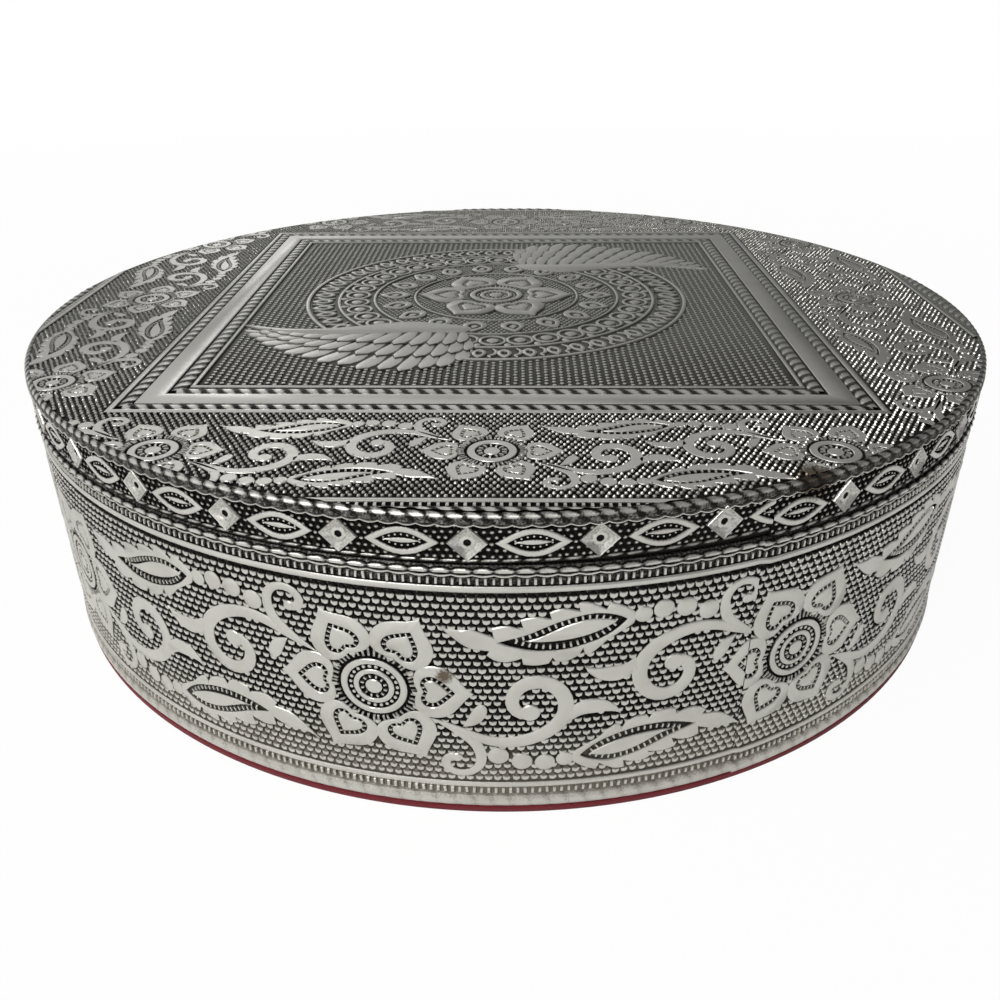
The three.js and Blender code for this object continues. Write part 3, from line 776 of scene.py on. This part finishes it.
def makeMedallion():
    work = medallionWork
    first, second, third = work["rings"]
    rings = [plate(roundLoop(work["rim"][1], 96), [roundLoop(work["rim"][0], 96)], height=0.5)]
    rings += [plate(roundLoop(outer, 72), [roundLoop(inner, 72)], height=0.45, shoulder=0.2)
              for inner, outer in work["rings"]]
    drop, petal = (smooth(mirrored(work[name]), 2, closed=True) for name in ("drop", "petal"))
    hole = (petal - petal.mean(0)) * 0.5 + petal.mean(0)
    seed = hole * 0.6 + petal.mean(0) * 0.4
    curl, sides = ribbon(smooth(work["curl"], 3), [0.5, 0.8, 0.9, 0.8, 0.5], height=0.42, shoulder=0.2)
    between, within = (first[1] + work["rim"][0]) / 2, (first[0] + second[1]) / 2
    drops, arches, petals = work["drops"], work["arches"], work["petals"]
    for shape, count, radius, turn in (
            (plate(drop, [drop * 0.42], 0.42, 0.18), drops, between, 0.0),
            (curl, drops, between, 0.5),
            (plate(roundLoop(3.0, 18), [roundLoop(2.2, 16)], 0.42, 0.18), arches, within, 0.0),
            (plate(roundLoop(1.35, 12), (), 0.42, 0.3), arches, within, 0.0),
            (plate(drop * 0.5, (), 0.4, 0.2), arches, within + 2.9, 0.5),
            (plate(petal, [hole], 0.46, 0.2), petals, 0, 0.0),
            (plate(seed, (), 0.4, 0.15), petals, 0, 0.0)):
        rings.append(aroundMiddle(shape, count, radius, turn))
    rings = join(rings)
    wing, wingOutline = makeWing()
    wings = [wingOutline, spun(wingOutline, math.pi)]
    for loop in wings:  # the wings lie over the rings
        rings = clip(rings, work["underWing"] - insideDepth(rings[0][:, :2], loop))
    flower, outlines = makeFlower(work["innerSize"])
    outlines += [spun(petal, turn) for turn in evenAngles(petals)]
    grains = hexPlaces(54, 54, 1.15, 1.0) - 27
    reach = np.linalg.norm(grains, axis=1)
    within = (reach > 6.5) & (reach < third[0] - 0.5) | (reach > third[1] + 0.5) & (reach < second[0] - 0.5)
    grains = clearOf(grains[within], outlines + wings, margin=-0.25)
    patches = [rings, flower, wing, placed(wing, turn=math.pi), scatter(dome(*work["grain"]), grains)]
    right, up = work["middle"]
    covered = wings + [roundLoop(work["rim"][1], 96)]
    return placed(join(patches), right, up), [loop + (right, up) for loop in covered]


def makeLidSheet():
    work = lidSheetWork
    shift, inner = np.array(work["artShift"]), work["edgeRadius"]
    size, middle = work["flowerRepeat"], work["flowerMiddle"]
    turns = [math.pi / 2 * i for i in range(4)]
    ornament, outlines = ornamentUnit(size, fine=False)
    side = join([placed(ornament, i * size, -middle) for i in (-1, 0, 1)])
    side = clip(side, -side[0][:, 1] - work["outerLine"][1] + 0.3)
    side = clip(side, side[0][:, 1] + work["borderLine"][0] + 0.1)
    side = clip(side, -side[0][:, 1] - np.abs(side[0][:, 0]))
    loops = [loop + (i * size, -middle) for i in (-1, 0, 1) for loop in outlines]
    loops = [spun(loop, turn) + shift for loop in loops for turn in turns]
    half, (low, high) = work["borderHalf"], work["borderLine"]
    ticks = np.arange(-half, half, work["borderTickPitch"])
    ticks = np.column_stack([ticks, np.full(len(ticks), -work["borderTicks"])])
    side = join([side, scatter(tick(*work["borderTick"]), ticks)])
    straight = placed(line(lineProfile(low, high), 2 * half, 60, closed=False), -half, -low - high)
    border = [placed(shape, turn=turn) for shape in (side, straight) for turn in turns]
    border = placed(join(border + [squareRope(*work["borderRope"], half)]), *shift)
    border = clip(border, inner - np.linalg.norm(border[0][:, :2], axis=1))

    places = hexPlaces(2 * inner, 2 * inner, work["beadPitch"], work["beadRow"]) - inner
    aside = np.abs(places - shift).max(axis=1)
    inside = (np.linalg.norm(places, axis=1) < inner - 0.3) & (aside > work["outerLine"][1] + 0.3)
    places = clearOf(places[inside & (aside < low - 0.3)], loops)
    sizes = 1 + random.normal(0, 0.04, len(places))
    patches = [border, scatter(dome(**work["bead"]), roughen(places, 0.035), None, sizes)]

    half = work["innerLine"][0] - 0.3
    medallion, covered = makeMedallion()
    places = hexPlaces(2 * half, 2 * half, work["panelPitch"], work["panelPitch"]) - half
    places = clearOf(places[:, ::-1], covered, margin=0.0)
    places = places[np.abs(places).max(axis=1) < half - 0.4]
    panel = [medallion, scatter(dome(**work["panelBead"]), roughen(places, 0.03))]
    panel += [squareLine(*work[name]) for name in ("outerLine", "plainBand", "innerLine")]
    panel += [squareRope(*work[name]) for name in ("outerRope", "innerRope")]
    patches.append(placed(join(panel), *shift))

    edge = [(lidTop + up, out) for up, out in work["edge"]]
    edge = rope(edge, aroundWall, work["edgePitch"], **work["edgeStrands"])
    fringe = scallopedLine(*work["fringe"], work["edgePitch"], work["fringeHang"])
    wall = turnedBody([(100.3, lidTop - 0.5), (100.3, lidTop - 1.15), (100.45, lidTop - 1.15),
                       (100.45, lidTop - 0.5), (99.9, lidTop)], closed=False)
    top, under = discPatch(99.9, lidTop, up=True), discPatch(100.3, lidTop - 0.5, up=False)
    return makeObject("lid_top_sheet_embossed", [bent(join(patches), ontoLid), bent(edge, roundWall),
                                                 bent(fringe, roundWall), top, under, wall])


# Band round the lid
lidBandWork = {
    "eyes": 34,
    "frontEyeDegrees": 3.2,
    "bottom": 47.8,
    "top": 54.9,
    "middle": 51.2,
    "eye": (5.5, 2.35),
    "eyeHole": (3.5, 1.28),
    "eyeSeed": (2.95, 0.46),
    "eyeBead": (0.2, 0.3, 5),
    "diamond": (3.0, 2.9),
    "diamondRows": [(1.0, -0.04, 0.2), (0.97, 0.5, 0.8), (0.93, 0.62, 1), (0.86, 0.52, 0.8),
                    (0.6, 0.26, 0.84)],  # share of the outline, height and wear
    "dimple": 0.5,
    "dimpleRows": [(2.3, 0.14, 0.78), (1.7, 0.24, 0.95), (1.15, 0.24, 0.9), (0.95, 0.0, 0), (0.02, -0.02, 0)],
    "beadPitch": 1.155,
    "beadRow": 0.99,
    # each bead carries painted shade over its upper half
    "bead": {"radius": 0.41, "height": 0.4, "sides": 6, "lean": 0.2, "shade": 0.6, "rubbed": (0.0, 0.6, 1.0)},
    "hemRope": (47.85, 48.5, 0.36),
    "hemStrands": {"pitch": 2.9, "lean": 0.5, "depth": 0.16, "scallop": 0.3,
                   "wears": (0.0, 0.2, 0.6, 1.0, 0.6)},
    "seam": 41.2,
    "lap": -3.75,
    "lapDrift": (-0.5, 0.15, 45.0),
    "lapRise": 0.6,
    # the band's relief is made darker all over by this share
    "bandDimming": 0.8,
}


def makeEye():
    work = lidBandWork
    outline = lens(work["eye"], 10)
    between = (np.array(work["eyeHole"]) + work["eyeSeed"]) / 2 * (0.92, 1.0)
    beads = scatter(dome(*work["eyeBead"]), alongLoop(lens(between, 8), 14)[0])
    return join([plate(outline, [lens(work["eyeHole"], 8)], 0.56, 0.3),
                 plate(lens(work["eyeSeed"], 6), (), 0.42, 0.2), beads]), outline


def makeDiamond(sides=16):
    work = lidBandWork
    circle = roundLoop(1, sides)
    reach = 1 / np.abs(circle).sum(axis=1)[:, None]
    outer = reach * work["diamond"] * circle
    dimple = roundLoop(work["dimple"], sides)
    rows = [(outer * share, height, wear) for share, height, wear in work["diamondRows"]]
    rows += [(dimple * share, height, wear) for share, height, wear in work["dimpleRows"]]
    return fromRows(rows), outer


def makeLidBand():
    work = lidBandWork
    pitch = (aroundWall + work["lap"]) / work["eyes"]
    first = math.radians(work["frontEyeDegrees"]) * boxRadius
    (eye, eyeLoop), (diamond, diamondLoop) = makeEye(), makeDiamond()
    ornament = sliced(join([eye, placed(diamond, right=pitch / 2)]), 3.0)
    low, high = work["hemRope"][1] + 0.15, work["top"] - 0.3
    beads = hexPlaces(pitch, high - low, work["beadPitch"], work["beadRow"], offset=-pitch / 2)
    around = [eyeLoop + (shift, 0) for shift in (0, pitch, -pitch)]
    around += [diamondLoop + (shift, 0) for shift in (pitch / 2, -pitch / 2)]
    beads = clearOf(beads + (0, low - work["middle"]), around, margin=0.15)
    bead = dome(**work["bead"])
    strip = []
    for i in range(-work["eyes"] - 1, 5):  # to the left from the seam, once round
        ground = scatter(bead, roughen(beads, 0.06))
        strip += [placed(patch, first + i * pitch, work["middle"]) for patch in (ornament, ground)]
    hem = rope(archProfile(*work["hemRope"]), aroundWall, **work["hemStrands"])
    flat = join([lapJoint(join(strip), work["seam"]), hem])
    body = [(99.5, work["bottom"]), (99.85, work["bottom"]), (boxRadius, work["bottom"] + 0.2),
            (boxRadius, work["top"]), (99.5, work["top"])]
    points, faces, wear = lapped(flat, work["seam"], work["lapDrift"], work["lapRise"])
    relief = points, faces, wear * work["bandDimming"]
    return makeObject("lid_band_embossed", [bent(relief, roundWall), turnedBody(body)])


# Felt under the base, a disc with a soft cut edge that stands out a little under the foot rope
feltWork = {"radius": 100.55, "round": 0.35}


def makeFelt():
    radius, soft = feltWork["radius"], feltWork["round"]
    edge = [(radius - soft, 0.0), (radius - 0.1 * soft, 0.3 * soft), (radius, soft), (radius, feltTop - soft),
            (radius - 0.2 * soft, feltTop - 0.3 * soft), (radius - soft, feltTop - 0.02)]
    patches = [turnedBody(edge, closed=False), discPatch(radius - soft, 0.0, up=False),
               discPatch(radius - soft, feltTop - 0.02, up=True)]
    return makeObject("base_felt_disc", patches, sharpDegrees=80)


def ringAt(angles, reach, height):
    return np.column_stack([np.reshape(reach, (-1, 1)) * facing(angles), height + np.zeros(len(angles))])


# Velvet inside: the wall lining with a turned edge, and two pads drawn in round their edge
liningWork = {"thick": 1.2, "edgeRound": 0.6, "wrinkle": 0.12, "steps": 288, "rows": 24}
padWork = {"rings": 40, "steps": 192, "edgeShare": 0.55, "puckers": 36, "pucker": 0.06, "sag": 0.03}


def makeLining():
    work = liningWork
    outer, bottom, top = nodeSize("base_lining")
    inner, bend = outer - work["thick"], work["edgeRound"]
    angles = evenAngles(work["steps"])
    rings = [(outer - 0.02, bottom + 0.02), (inner + 0.1, bottom + 0.02)]
    rings += [(inner, z) for z in np.linspace(bottom + 0.02, top - bend, work["rows"])]
    rings += [(inner + 0.59 * (1 - math.cos(turn)), top - bend * (1 - math.sin(turn)))
              for turn in np.linspace(0.2, 1, 5) * math.pi]
    points = []
    for radius, z in rings:
        wave = work["wrinkle"] * np.sin(angles * 5 + z * 0.11) * np.sin(angles * 11 - z * 0.07)
        points.append(ringAt(angles, radius + (np.abs(wave) if radius < inner + 0.3 else 0), z))
    points = np.vstack(points + points[:1])
    faces = skin(len(rings) + 1, len(angles))[:, ::-1]
    return makeObject("base_lining_velvet", [(points, faces, np.zeros(len(points)))], sharpDegrees=70)


def makePad(name, node, crownUp=True):
    work = padWork
    radius, bottom, top = nodeSize(node)
    radius, height = radius - 0.1, top - bottom
    angles = evenAngles(work["steps"])
    rings = [ringAt(angles, reach, 0) for reach in np.linspace(0.05, radius - 1.5, 8)]
    side = (radius - 0.5, 0), (radius - 0.1, 0.08), (radius, 0.3)
    rings += [ringAt(angles, reach, share * height) for reach, share in side]
    for share in (np.sin(np.linspace(0, 1, work["rings"]) * math.pi / 2) ** 0.9)[::-1]:  # crowned face
        fall = (1 - share ** 10) * (1 - work["edgeShare"]) + work["edgeShare"]
        pucker = work["pucker"] * height * share ** 14 * np.sin(angles * work["puckers"])
        pucker = pucker + work["sag"] * height * np.sin(angles * 3 + 4 * share)
        rings.append(ringAt(angles, radius * share, np.minimum(height * fall + pucker, height)))
    points, faces = np.vstack(rings), skin(len(rings), len(angles))
    points[:, 2] = points[:, 2] + bottom if crownUp else top - points[:, 2]
    faces = faces if crownUp else faces[:, ::-1]
    return makeObject(name, [(points, faces, np.zeros(len(points)))], sharpDegrees=80, weld=0.06)


# Materials
def linearColour(hexColour):
    channels = [int(hexColour[i:i + 2], 16) / 255 for i in (1, 3, 5)]
    return [c / 12.92 if c <= 0.04045 else ((c + 0.055) / 1.055) ** 2.4 for c in channels] + [1.0]


def feed(tree, node, inputs):  # a value is a hex colour, a number, a socket, or a node for its first output
    for name, value in inputs.items():
        value = value.outputs[0] if isinstance(value, bpy.types.Node) else value
        if isinstance(value, bpy.types.NodeSocket):
            tree.links.new(value, node.inputs[name])
        else:
            node.inputs[name].default_value = linearColour(value) if isinstance(value, str) else value


def addNode(tree, kind, inputs=None, **settings):
    node = tree.nodes.new("ShaderNode" + kind)
    for name, value in settings.items():
        setattr(node, name, value)
    feed(tree, node, inputs or {})
    return node


def newMaterial(name):
    material = bpy.data.materials.new(name)
    material.use_nodes = True
    tree = material.node_tree
    return material, tree, tree.nodes["Principled BSDF"], addNode(tree, "TexCoord").outputs["Object"]


def perMetre(millimetres):  # texture scale for a feature of this size
    return 1 / (millimetres * metresPerMm)


# Embossed aluminium, oxidised black and rubbed back: satin bright on what stands high, sooty between, and
# with painted shade over the beads' upper halves
oxidisedAluminiumLook = {
    "rubbed": "#D8D6CF",
    "dull": "#BDBAB2",
    "patina": "#0F0E0C",
    "haze": "#24221E",
    # the soot turns to this paler grey towards the foot of the wall
    "footPaler": "#948E83",
    "footMm": (2.0, 17.0),
    "stain": "#4E3616",
    "stainMost": 0.85,
    "stains": [(-7.6, -100.4, 27.9, 1.5), (-20.2, -98.6, 23.4, 0.6),
               (46.5, -88.9, 55.6, 4.2)],  # place and radius
    # grey laid over the lid's ground and, thinner, its rubbed metal, more towards the back
    "backGrey": "#73746E",
    "backGreyDepth": (-64.0, -24.0),
    "backGreyMost": 0.85,
    "backGreyOnMetal": 0.6,
    "rubbedFrom": (0.32, 0.78),
    "rubbedRoughness": 0.3,
    "patinaRoughness": 0.55,
    "patinaMetal": 0.85,
    "blotchMm": 9.0,
    "blotchRoughness": 0.12,
    "scratchMm": 0.35,
    "scratchDeepMm": 0.03,
    "crinkleMm": 1.6,
    "crinkleDeepMm": 0.12,
}


def greyTowardsBack(tree, across, height):  # share of grey laid over the top of the lid, growing towards the back
    look = oxidisedAluminiumLook
    near, far = (value * metresPerMm for value in look["backGreyDepth"])
    under, over = ((lidTop - down) * metresPerMm for down in (0.6, 0.2))
    depth = addNode(tree, "MapRange", {0: across, 1: near, 2: far, 4: look["backGreyMost"]})
    onTop = addNode(tree, "MapRange", {0: height, 1: under, 2: over})
    return addNode(tree, "Math", {0: depth, 1: onTop}, operation="MULTIPLY")


def oxidisedAluminium():
    look = oxidisedAluminiumLook
    material, tree, shader, place = newMaterial("oxidisedAluminium")
    parts = addNode(tree, "SeparateXYZ", {0: place}).outputs
    # this share also holds the beads' painted shade and highlight, so the rubbed mix below paints them too
    wear = addNode(tree, "Attribute", attribute_name="wear").outputs["Fac"]
    blotch, grain, crinkle = (
        addNode(tree, "TexNoise", {"Vector": place, "Scale": perMetre(look[size]), "Detail": detail})
        for size, detail in (("blotchMm", 4.0), ("scratchMm", 3.0), ("crinkleMm", 3.0)))
    spread = addNode(tree, "Math", {0: grain, 1: 0.5}, operation="SUBTRACT")
    uneven = addNode(tree, "Math", {0: spread, 1: 0.5, 2: wear}, operation="MULTIPLY_ADD")
    least, most = look["rubbedFrom"]
    rubbed = addNode(tree, "MapRange", {0: uneven, 1: least, 2: most}, interpolation_type="SMOOTHSTEP")
    dulled = addNode(tree, "MapRange", {0: blotch, 1: 0.45, 2: 0.75, 4: 0.55})
    low, high = (value * metresPerMm for value in look["footMm"])
    # paler towards the foot of the wall
    foot = addNode(tree, "MapRange", {0: parts["Z"], 1: low, 2: high, 3: 1.0, 4: 0.0})
    backGrey = greyTowardsBack(tree, parts["Y"], parts["Z"])
    thin = addNode(tree, "Math", {0: backGrey, 1: look["backGreyOnMetal"]}, operation="MULTIPLY")
    stained = 0.0
    for x, y, z, radius in look["stains"]:
        centre, radius = [value * metresPerMm for value in (x, y, z)], radius * metresPerMm
        far = addNode(tree, "VectorMath", {0: place, 1: centre}, operation="DISTANCE").outputs["Value"]
        ragged = addNode(tree, "Math", {0: spread, 1: -radius, 2: far}, operation="MULTIPLY_ADD")
        spot = addNode(tree, "MapRange", {0: ragged, 1: radius, 2: radius * 0.55, 4: look["stainMost"]})
        stained = addNode(tree, "Math", {0: stained, 1: spot}, operation="MAXIMUM")
    soot, bright = look["patina"], look["rubbed"]
    for share, name in ((blotch, "haze"), (foot, "footPaler"), (backGrey, "backGrey")):
        soot = addNode(tree, "Mix", {0: share, 6: soot, 7: look[name]}, data_type="RGBA").outputs[2]
    for share, name in ((dulled, "dull"), (thin, "backGrey"), (stained, "stain")):
        bright = addNode(tree, "Mix", {0: share, 6: bright, 7: look[name]}, data_type="RGBA").outputs[2]
    colour = addNode(tree, "Mix", {0: rubbed, 6: soot, 7: bright}, data_type="RGBA").outputs[2]
    metal = addNode(tree, "MapRange", {0: rubbed, 3: look["patinaMetal"], 4: 1.0})
    rough = addNode(tree, "MapRange", {0: rubbed, 3: look["patinaRoughness"], 4: look["rubbedRoughness"]})
    rough = addNode(tree, "Math", {0: blotch, 1: look["blotchRoughness"], 2: rough}, operation="MULTIPLY_ADD")
    creased = addNode(tree, "Bump", {"Height": crinkle, "Strength": 0.5,
                                     "Distance": look["crinkleDeepMm"] * metresPerMm})
    bump = addNode(tree, "Bump", {"Height": grain, "Strength": 0.35, "Normal": creased,
                                  "Distance": look["scratchDeepMm"] * metresPerMm})
    feed(tree, shader, {"Base Color": colour, "Metallic": metal, "Roughness": rough, "Normal": bump})
    return material


def fibrous(tree, shader, look, share, height):  # colour from low to high by share, and relief by height
    colour = addNode(tree, "Mix", {0: share, 6: look["low"], 7: look["high"]}, data_type="RGBA").outputs[2]
    bump = addNode(tree, "Bump", {"Height": height, "Strength": look["relief"],
                                  "Distance": look["deepMm"] * metresPerMm})
    feed(tree, shader, {"Base Color": colour, "Normal": bump, **look["shader"]})


# Velvet, woven with a short cut pile: deep red, darker where the pile faces away, with a soft sheen
velvetLook = {"low": "#4C0610", "high": "#7C0D19", "pileMm": 0.5, "deepMm": 0.2, "relief": 0.6,
              "strokeMm": 14.0, "shader": {"Roughness": 0.9, "Sheen Weight": 0.7, "Sheen Roughness": 0.35,
                                           "Sheen Tint": "#E0586A"}}


def velvetPile():
    look = velvetLook
    material, tree, shader, place = newMaterial("redVelvetPile")
    stroke = addNode(tree, "TexNoise", {"Vector": place, "Scale": perMetre(look["strokeMm"]), "Detail": 5.0,
                                        "Distortion": 0.6})
    pile = addNode(tree, "TexNoise", {"Vector": place, "Scale": perMetre(look["pileMm"]), "Detail": 2.0})
    leaning = addNode(tree, "MapRange", {0: stroke, 1: 0.35, 2: 0.65})
    mixed = addNode(tree, "Math", {0: pile, 1: 0.5, 2: leaning}, operation="MULTIPLY_ADD")
    fibrous(tree, shader, look, addNode(tree, "MapRange", {0: mixed, 1: 0.2, 2: 1.3}), pile)
    return material


# Pressed wool felt: matt red with loose fibres
feltLook = {"low": "#501218", "high": "#7E1D27", "fibreMm": 0.35, "deepMm": 0.15, "relief": 0.8,
            "shader": {"Roughness": 0.95, "Sheen Weight": 0.1}}


def pressedFelt():
    look = feltLook
    material, tree, shader, place = newMaterial("pressedRedFelt")
    fibre = addNode(tree, "TexNoise", {"Vector": place, "Scale": perMetre(look["fibreMm"]), "Detail": 6.0,
                                       "Distortion": 1.5})
    fibrous(tree, shader, look, fibre, fibre)
    return material


# Medium-density fibreboard, turned: even tan with short fibres and a faint tool mark
boardLook = {"low": "#B08A5E", "high": "#7F5C38", "fibreMm": 0.6, "toolMarkMm": 0.8, "deepMm": 0.05,
             "relief": 0.4, "shader": {"Roughness": 0.75}}
paintedShadowBoardLook = {**boardLook, "low": "#1D1916", "high": "#120F0D"}  # painted shade: near black, as the board shows in the shadowed joint


def turnedFibreboard(name, look):
    material, tree, shader, place = newMaterial(name)
    fibre = addNode(tree, "TexNoise", {"Vector": place, "Scale": perMetre(look["fibreMm"]), "Detail": 8.0})
    marks = addNode(tree, "TexWave", {"Vector": place, "Scale": perMetre(look["toolMarkMm"]) / 20,
                                      "Distortion": 1.0}, wave_type="RINGS", rings_direction="Z")
    height = addNode(tree, "Math", {0: marks.outputs["Fac"], 1: 0.3, 2: fibre}, operation="MULTIPLY_ADD")
    fibrous(tree, shader, look, addNode(tree, "MapRange", {0: fibre, 1: 0.4, 2: 0.75}), height)
    return material


def dress(piece, material):
    piece.data.materials.clear()
    piece.data.materials.append(material)


metal, velvet, felt = oxidisedAluminium(), velvetPile(), pressedFelt()
board = turnedFibreboard("turnedFibreboard", boardLook)
paintedShadowBoard = turnedFibreboard("paintedShadowFibreboard", paintedShadowBoardLook)
print("materials made")

pieces = [(makeBaseSheet(), metal, "base", "base_sheet", "sheet"),
          (makeLidSheet(), metal, "lid", "lid_top_sheet", "sheet"),
          (makeLidBand(), metal, "lid", "lid_band", "sheet"),
          (makeFelt(), felt, "base", "base_felt", "felt"),
          (makeLining(), velvet, "base", "base_lining", "velvet"),
          (makePad("base_floor_cushion", "base_floor_pad"), velvet, "base", "base_floor_pad", "velvet"),
          (makePad("lid_cushion", "lid_pad", crownUp=False), velvet, "lid", "lid_pad", "velvet")]
for piece, material, body, node, slotName in pieces:
    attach(piece, body)
    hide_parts(node)
    dress(piece, material)
# the lid wall takes the near black board, painted shade for the joint where it shows
for name in ("base_board", "base_wall", "base_collar", "lid_board", "lid_wall"):
    dress(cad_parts[name], paintedShadowBoard if name == "lid_wall" else board)
print("pieces dressed")


# Pale table and soft studio light
stageWork = {
    "floorSize": 12.0,
    "floorColour": "#F4F4F3",
    "floorRoughness": 0.9,
    "background": "#FFFFFF",
    "whiteFrom": (0.2, 0.9),  # metres from the box
    "white": (0.95, 1.0),
    "sky": [(0.0, 1.0), (0.1, 0.86), (0.2, 0.52), (0.45, 0.7), (1.0, 0.6)],
    "sideways": {1: -0.1, 2: 0.5, 3: 1.0, 4: 0.2},  # from and to heading, light from left and from right
    "lights": [("frontSoftbox", (-0.4, -0.75, 0.8), 0.55, 0.55, 7.0),
               ("rightSoftbox", (0.8, -0.45, 0.55), 0.5, 0.5, 0.4),
               ("leftRearStrip", (-0.46, 1.35, 0.42), 0.25, 0.4, 0.5)],
    "aim": (0.0, 0.0, 0.03),
}


def sortRays(tree, across):  # light from this side, and whether the camera looks here, straight or through
    path = addNode(tree, "LightPath").outputs
    aside = addNode(tree, "MapRange", {0: across, **stageWork["sideways"]})
    seen = addNode(tree, "Math", {0: path["Is Camera Ray"], 1: path["Is Transmission Ray"]},
                   operation="MAXIMUM")
    return aside, seen, path


def makeTable():
    work = stageWork
    mesh = bpy.data.meshes.new("table")
    corners = np.column_stack([square * work["floorSize"] / 2, np.zeros(4)])
    mesh.from_pydata(corners.tolist(), [], [(0, 1, 2, 3)])
    table = addObject("table", mesh)
    material, tree, shader, place = newMaterial("paleTable")
    feed(tree, shader, {"Base Color": work["floorColour"], "Roughness": work["floorRoughness"]})
    white = addNode(tree, "Emission", {"Color": work["background"], "Strength": 1.0})
    far = addNode(tree, "VectorMath", {0: place}, operation="LENGTH").outputs["Value"]
    (near, away), (least, most) = work["whiteFrom"], work["white"]
    whitened = addNode(tree, "MapRange", {0: far, 1: near, 2: away, 3: least, 4: most})
    aside, seen, path = sortRays(tree, addNode(tree, "SeparateXYZ", {0: place}))
    # Metal shows the far floor white, and the near floor with its shadow
    mirrored = addNode(tree, "MapRange", {0: far, 1: near, 2: away, 4: aside})
    mirrored = addNode(tree, "Math", {0: path["Is Glossy Ray"], 1: mirrored}, operation="MULTIPLY")
    seen = addNode(tree, "Math", {0: seen, 1: whitened, 2: mirrored}, operation="MULTIPLY_ADD")
    mixed = addNode(tree, "MixShader", {0: seen, 1: shader, 2: white})
    feed(tree, tree.nodes["Material Output"], {"Surface": mixed})
    mesh.materials.append(material)


def makeWorld():
    work = stageWork
    world = bpy.data.worlds.new("studio")
    bpy.context.scene.world = world
    world.use_nodes = True
    tree = world.node_tree
    tree.nodes.clear()
    heading = addNode(tree, "SeparateXYZ", {0: addNode(tree, "TexCoord").outputs["Generated"]}).outputs
    sky = addNode(tree, "ValToRGB", {0: heading["Z"]})
    ramp = sky.color_ramp.elements
    for place, level in work["sky"][1:-1]:
        ramp.new(place)
    for element, (place, level) in zip(ramp, work["sky"]):
        element.position = place
        element.color = (level, level, level, 1)
    aside, seen, path = sortRays(tree, heading["X"])
    level = addNode(tree, "Math", {0: aside, 1: seen}, operation="MAXIMUM")
    studio = addNode(tree, "Background", {"Color": sky, "Strength": level})
    addNode(tree, "OutputWorld", {"Surface": studio})


def makeLights():
    for name, place, width, height, power in stageWork["lights"]:
        lamp = bpy.data.lights.new(name, "AREA")
        lamp.shape = "RECTANGLE"
        lamp.size, lamp.size_y = width, height
        lamp.energy = power
        holder = addObject(name, lamp)
        holder.location = place
        holder.rotation_euler = (Vector(stageWork["aim"]) - Vector(place)).to_track_quat("-Z", "Y").to_euler()


# Camera where the photograph was taken from, a little to the right of the front and looking down
cameraWork = {"place": (0.003329, -0.209746, 0.117814), "lens": 33.578, "pan": 0.021, "tilt": -0.5,
              "roll": -0.004}


def makeCamera():
    work = cameraWork
    camera = addObject("camera", bpy.data.cameras.new("camera"))
    camera.data.lens = work["lens"]
    camera.data.clip_start = 0.01
    aim = Matrix.Rotation(work["roll"], 4, "Y") @ Matrix.Rotation(work["tilt"], 4, "X")
    aim = aim @ Matrix.Rotation(work["pan"], 4, "Z") @ Matrix.Rotation(math.pi / 2, 4, "X")
    camera.matrix_world = Matrix.Translation(work["place"]) @ aim
    bpy.context.scene.camera = camera


makeTable()
makeWorld()
makeLights()
makeCamera()
bpy.context.scene.view_settings.view_transform = "Standard"
print("studio made")
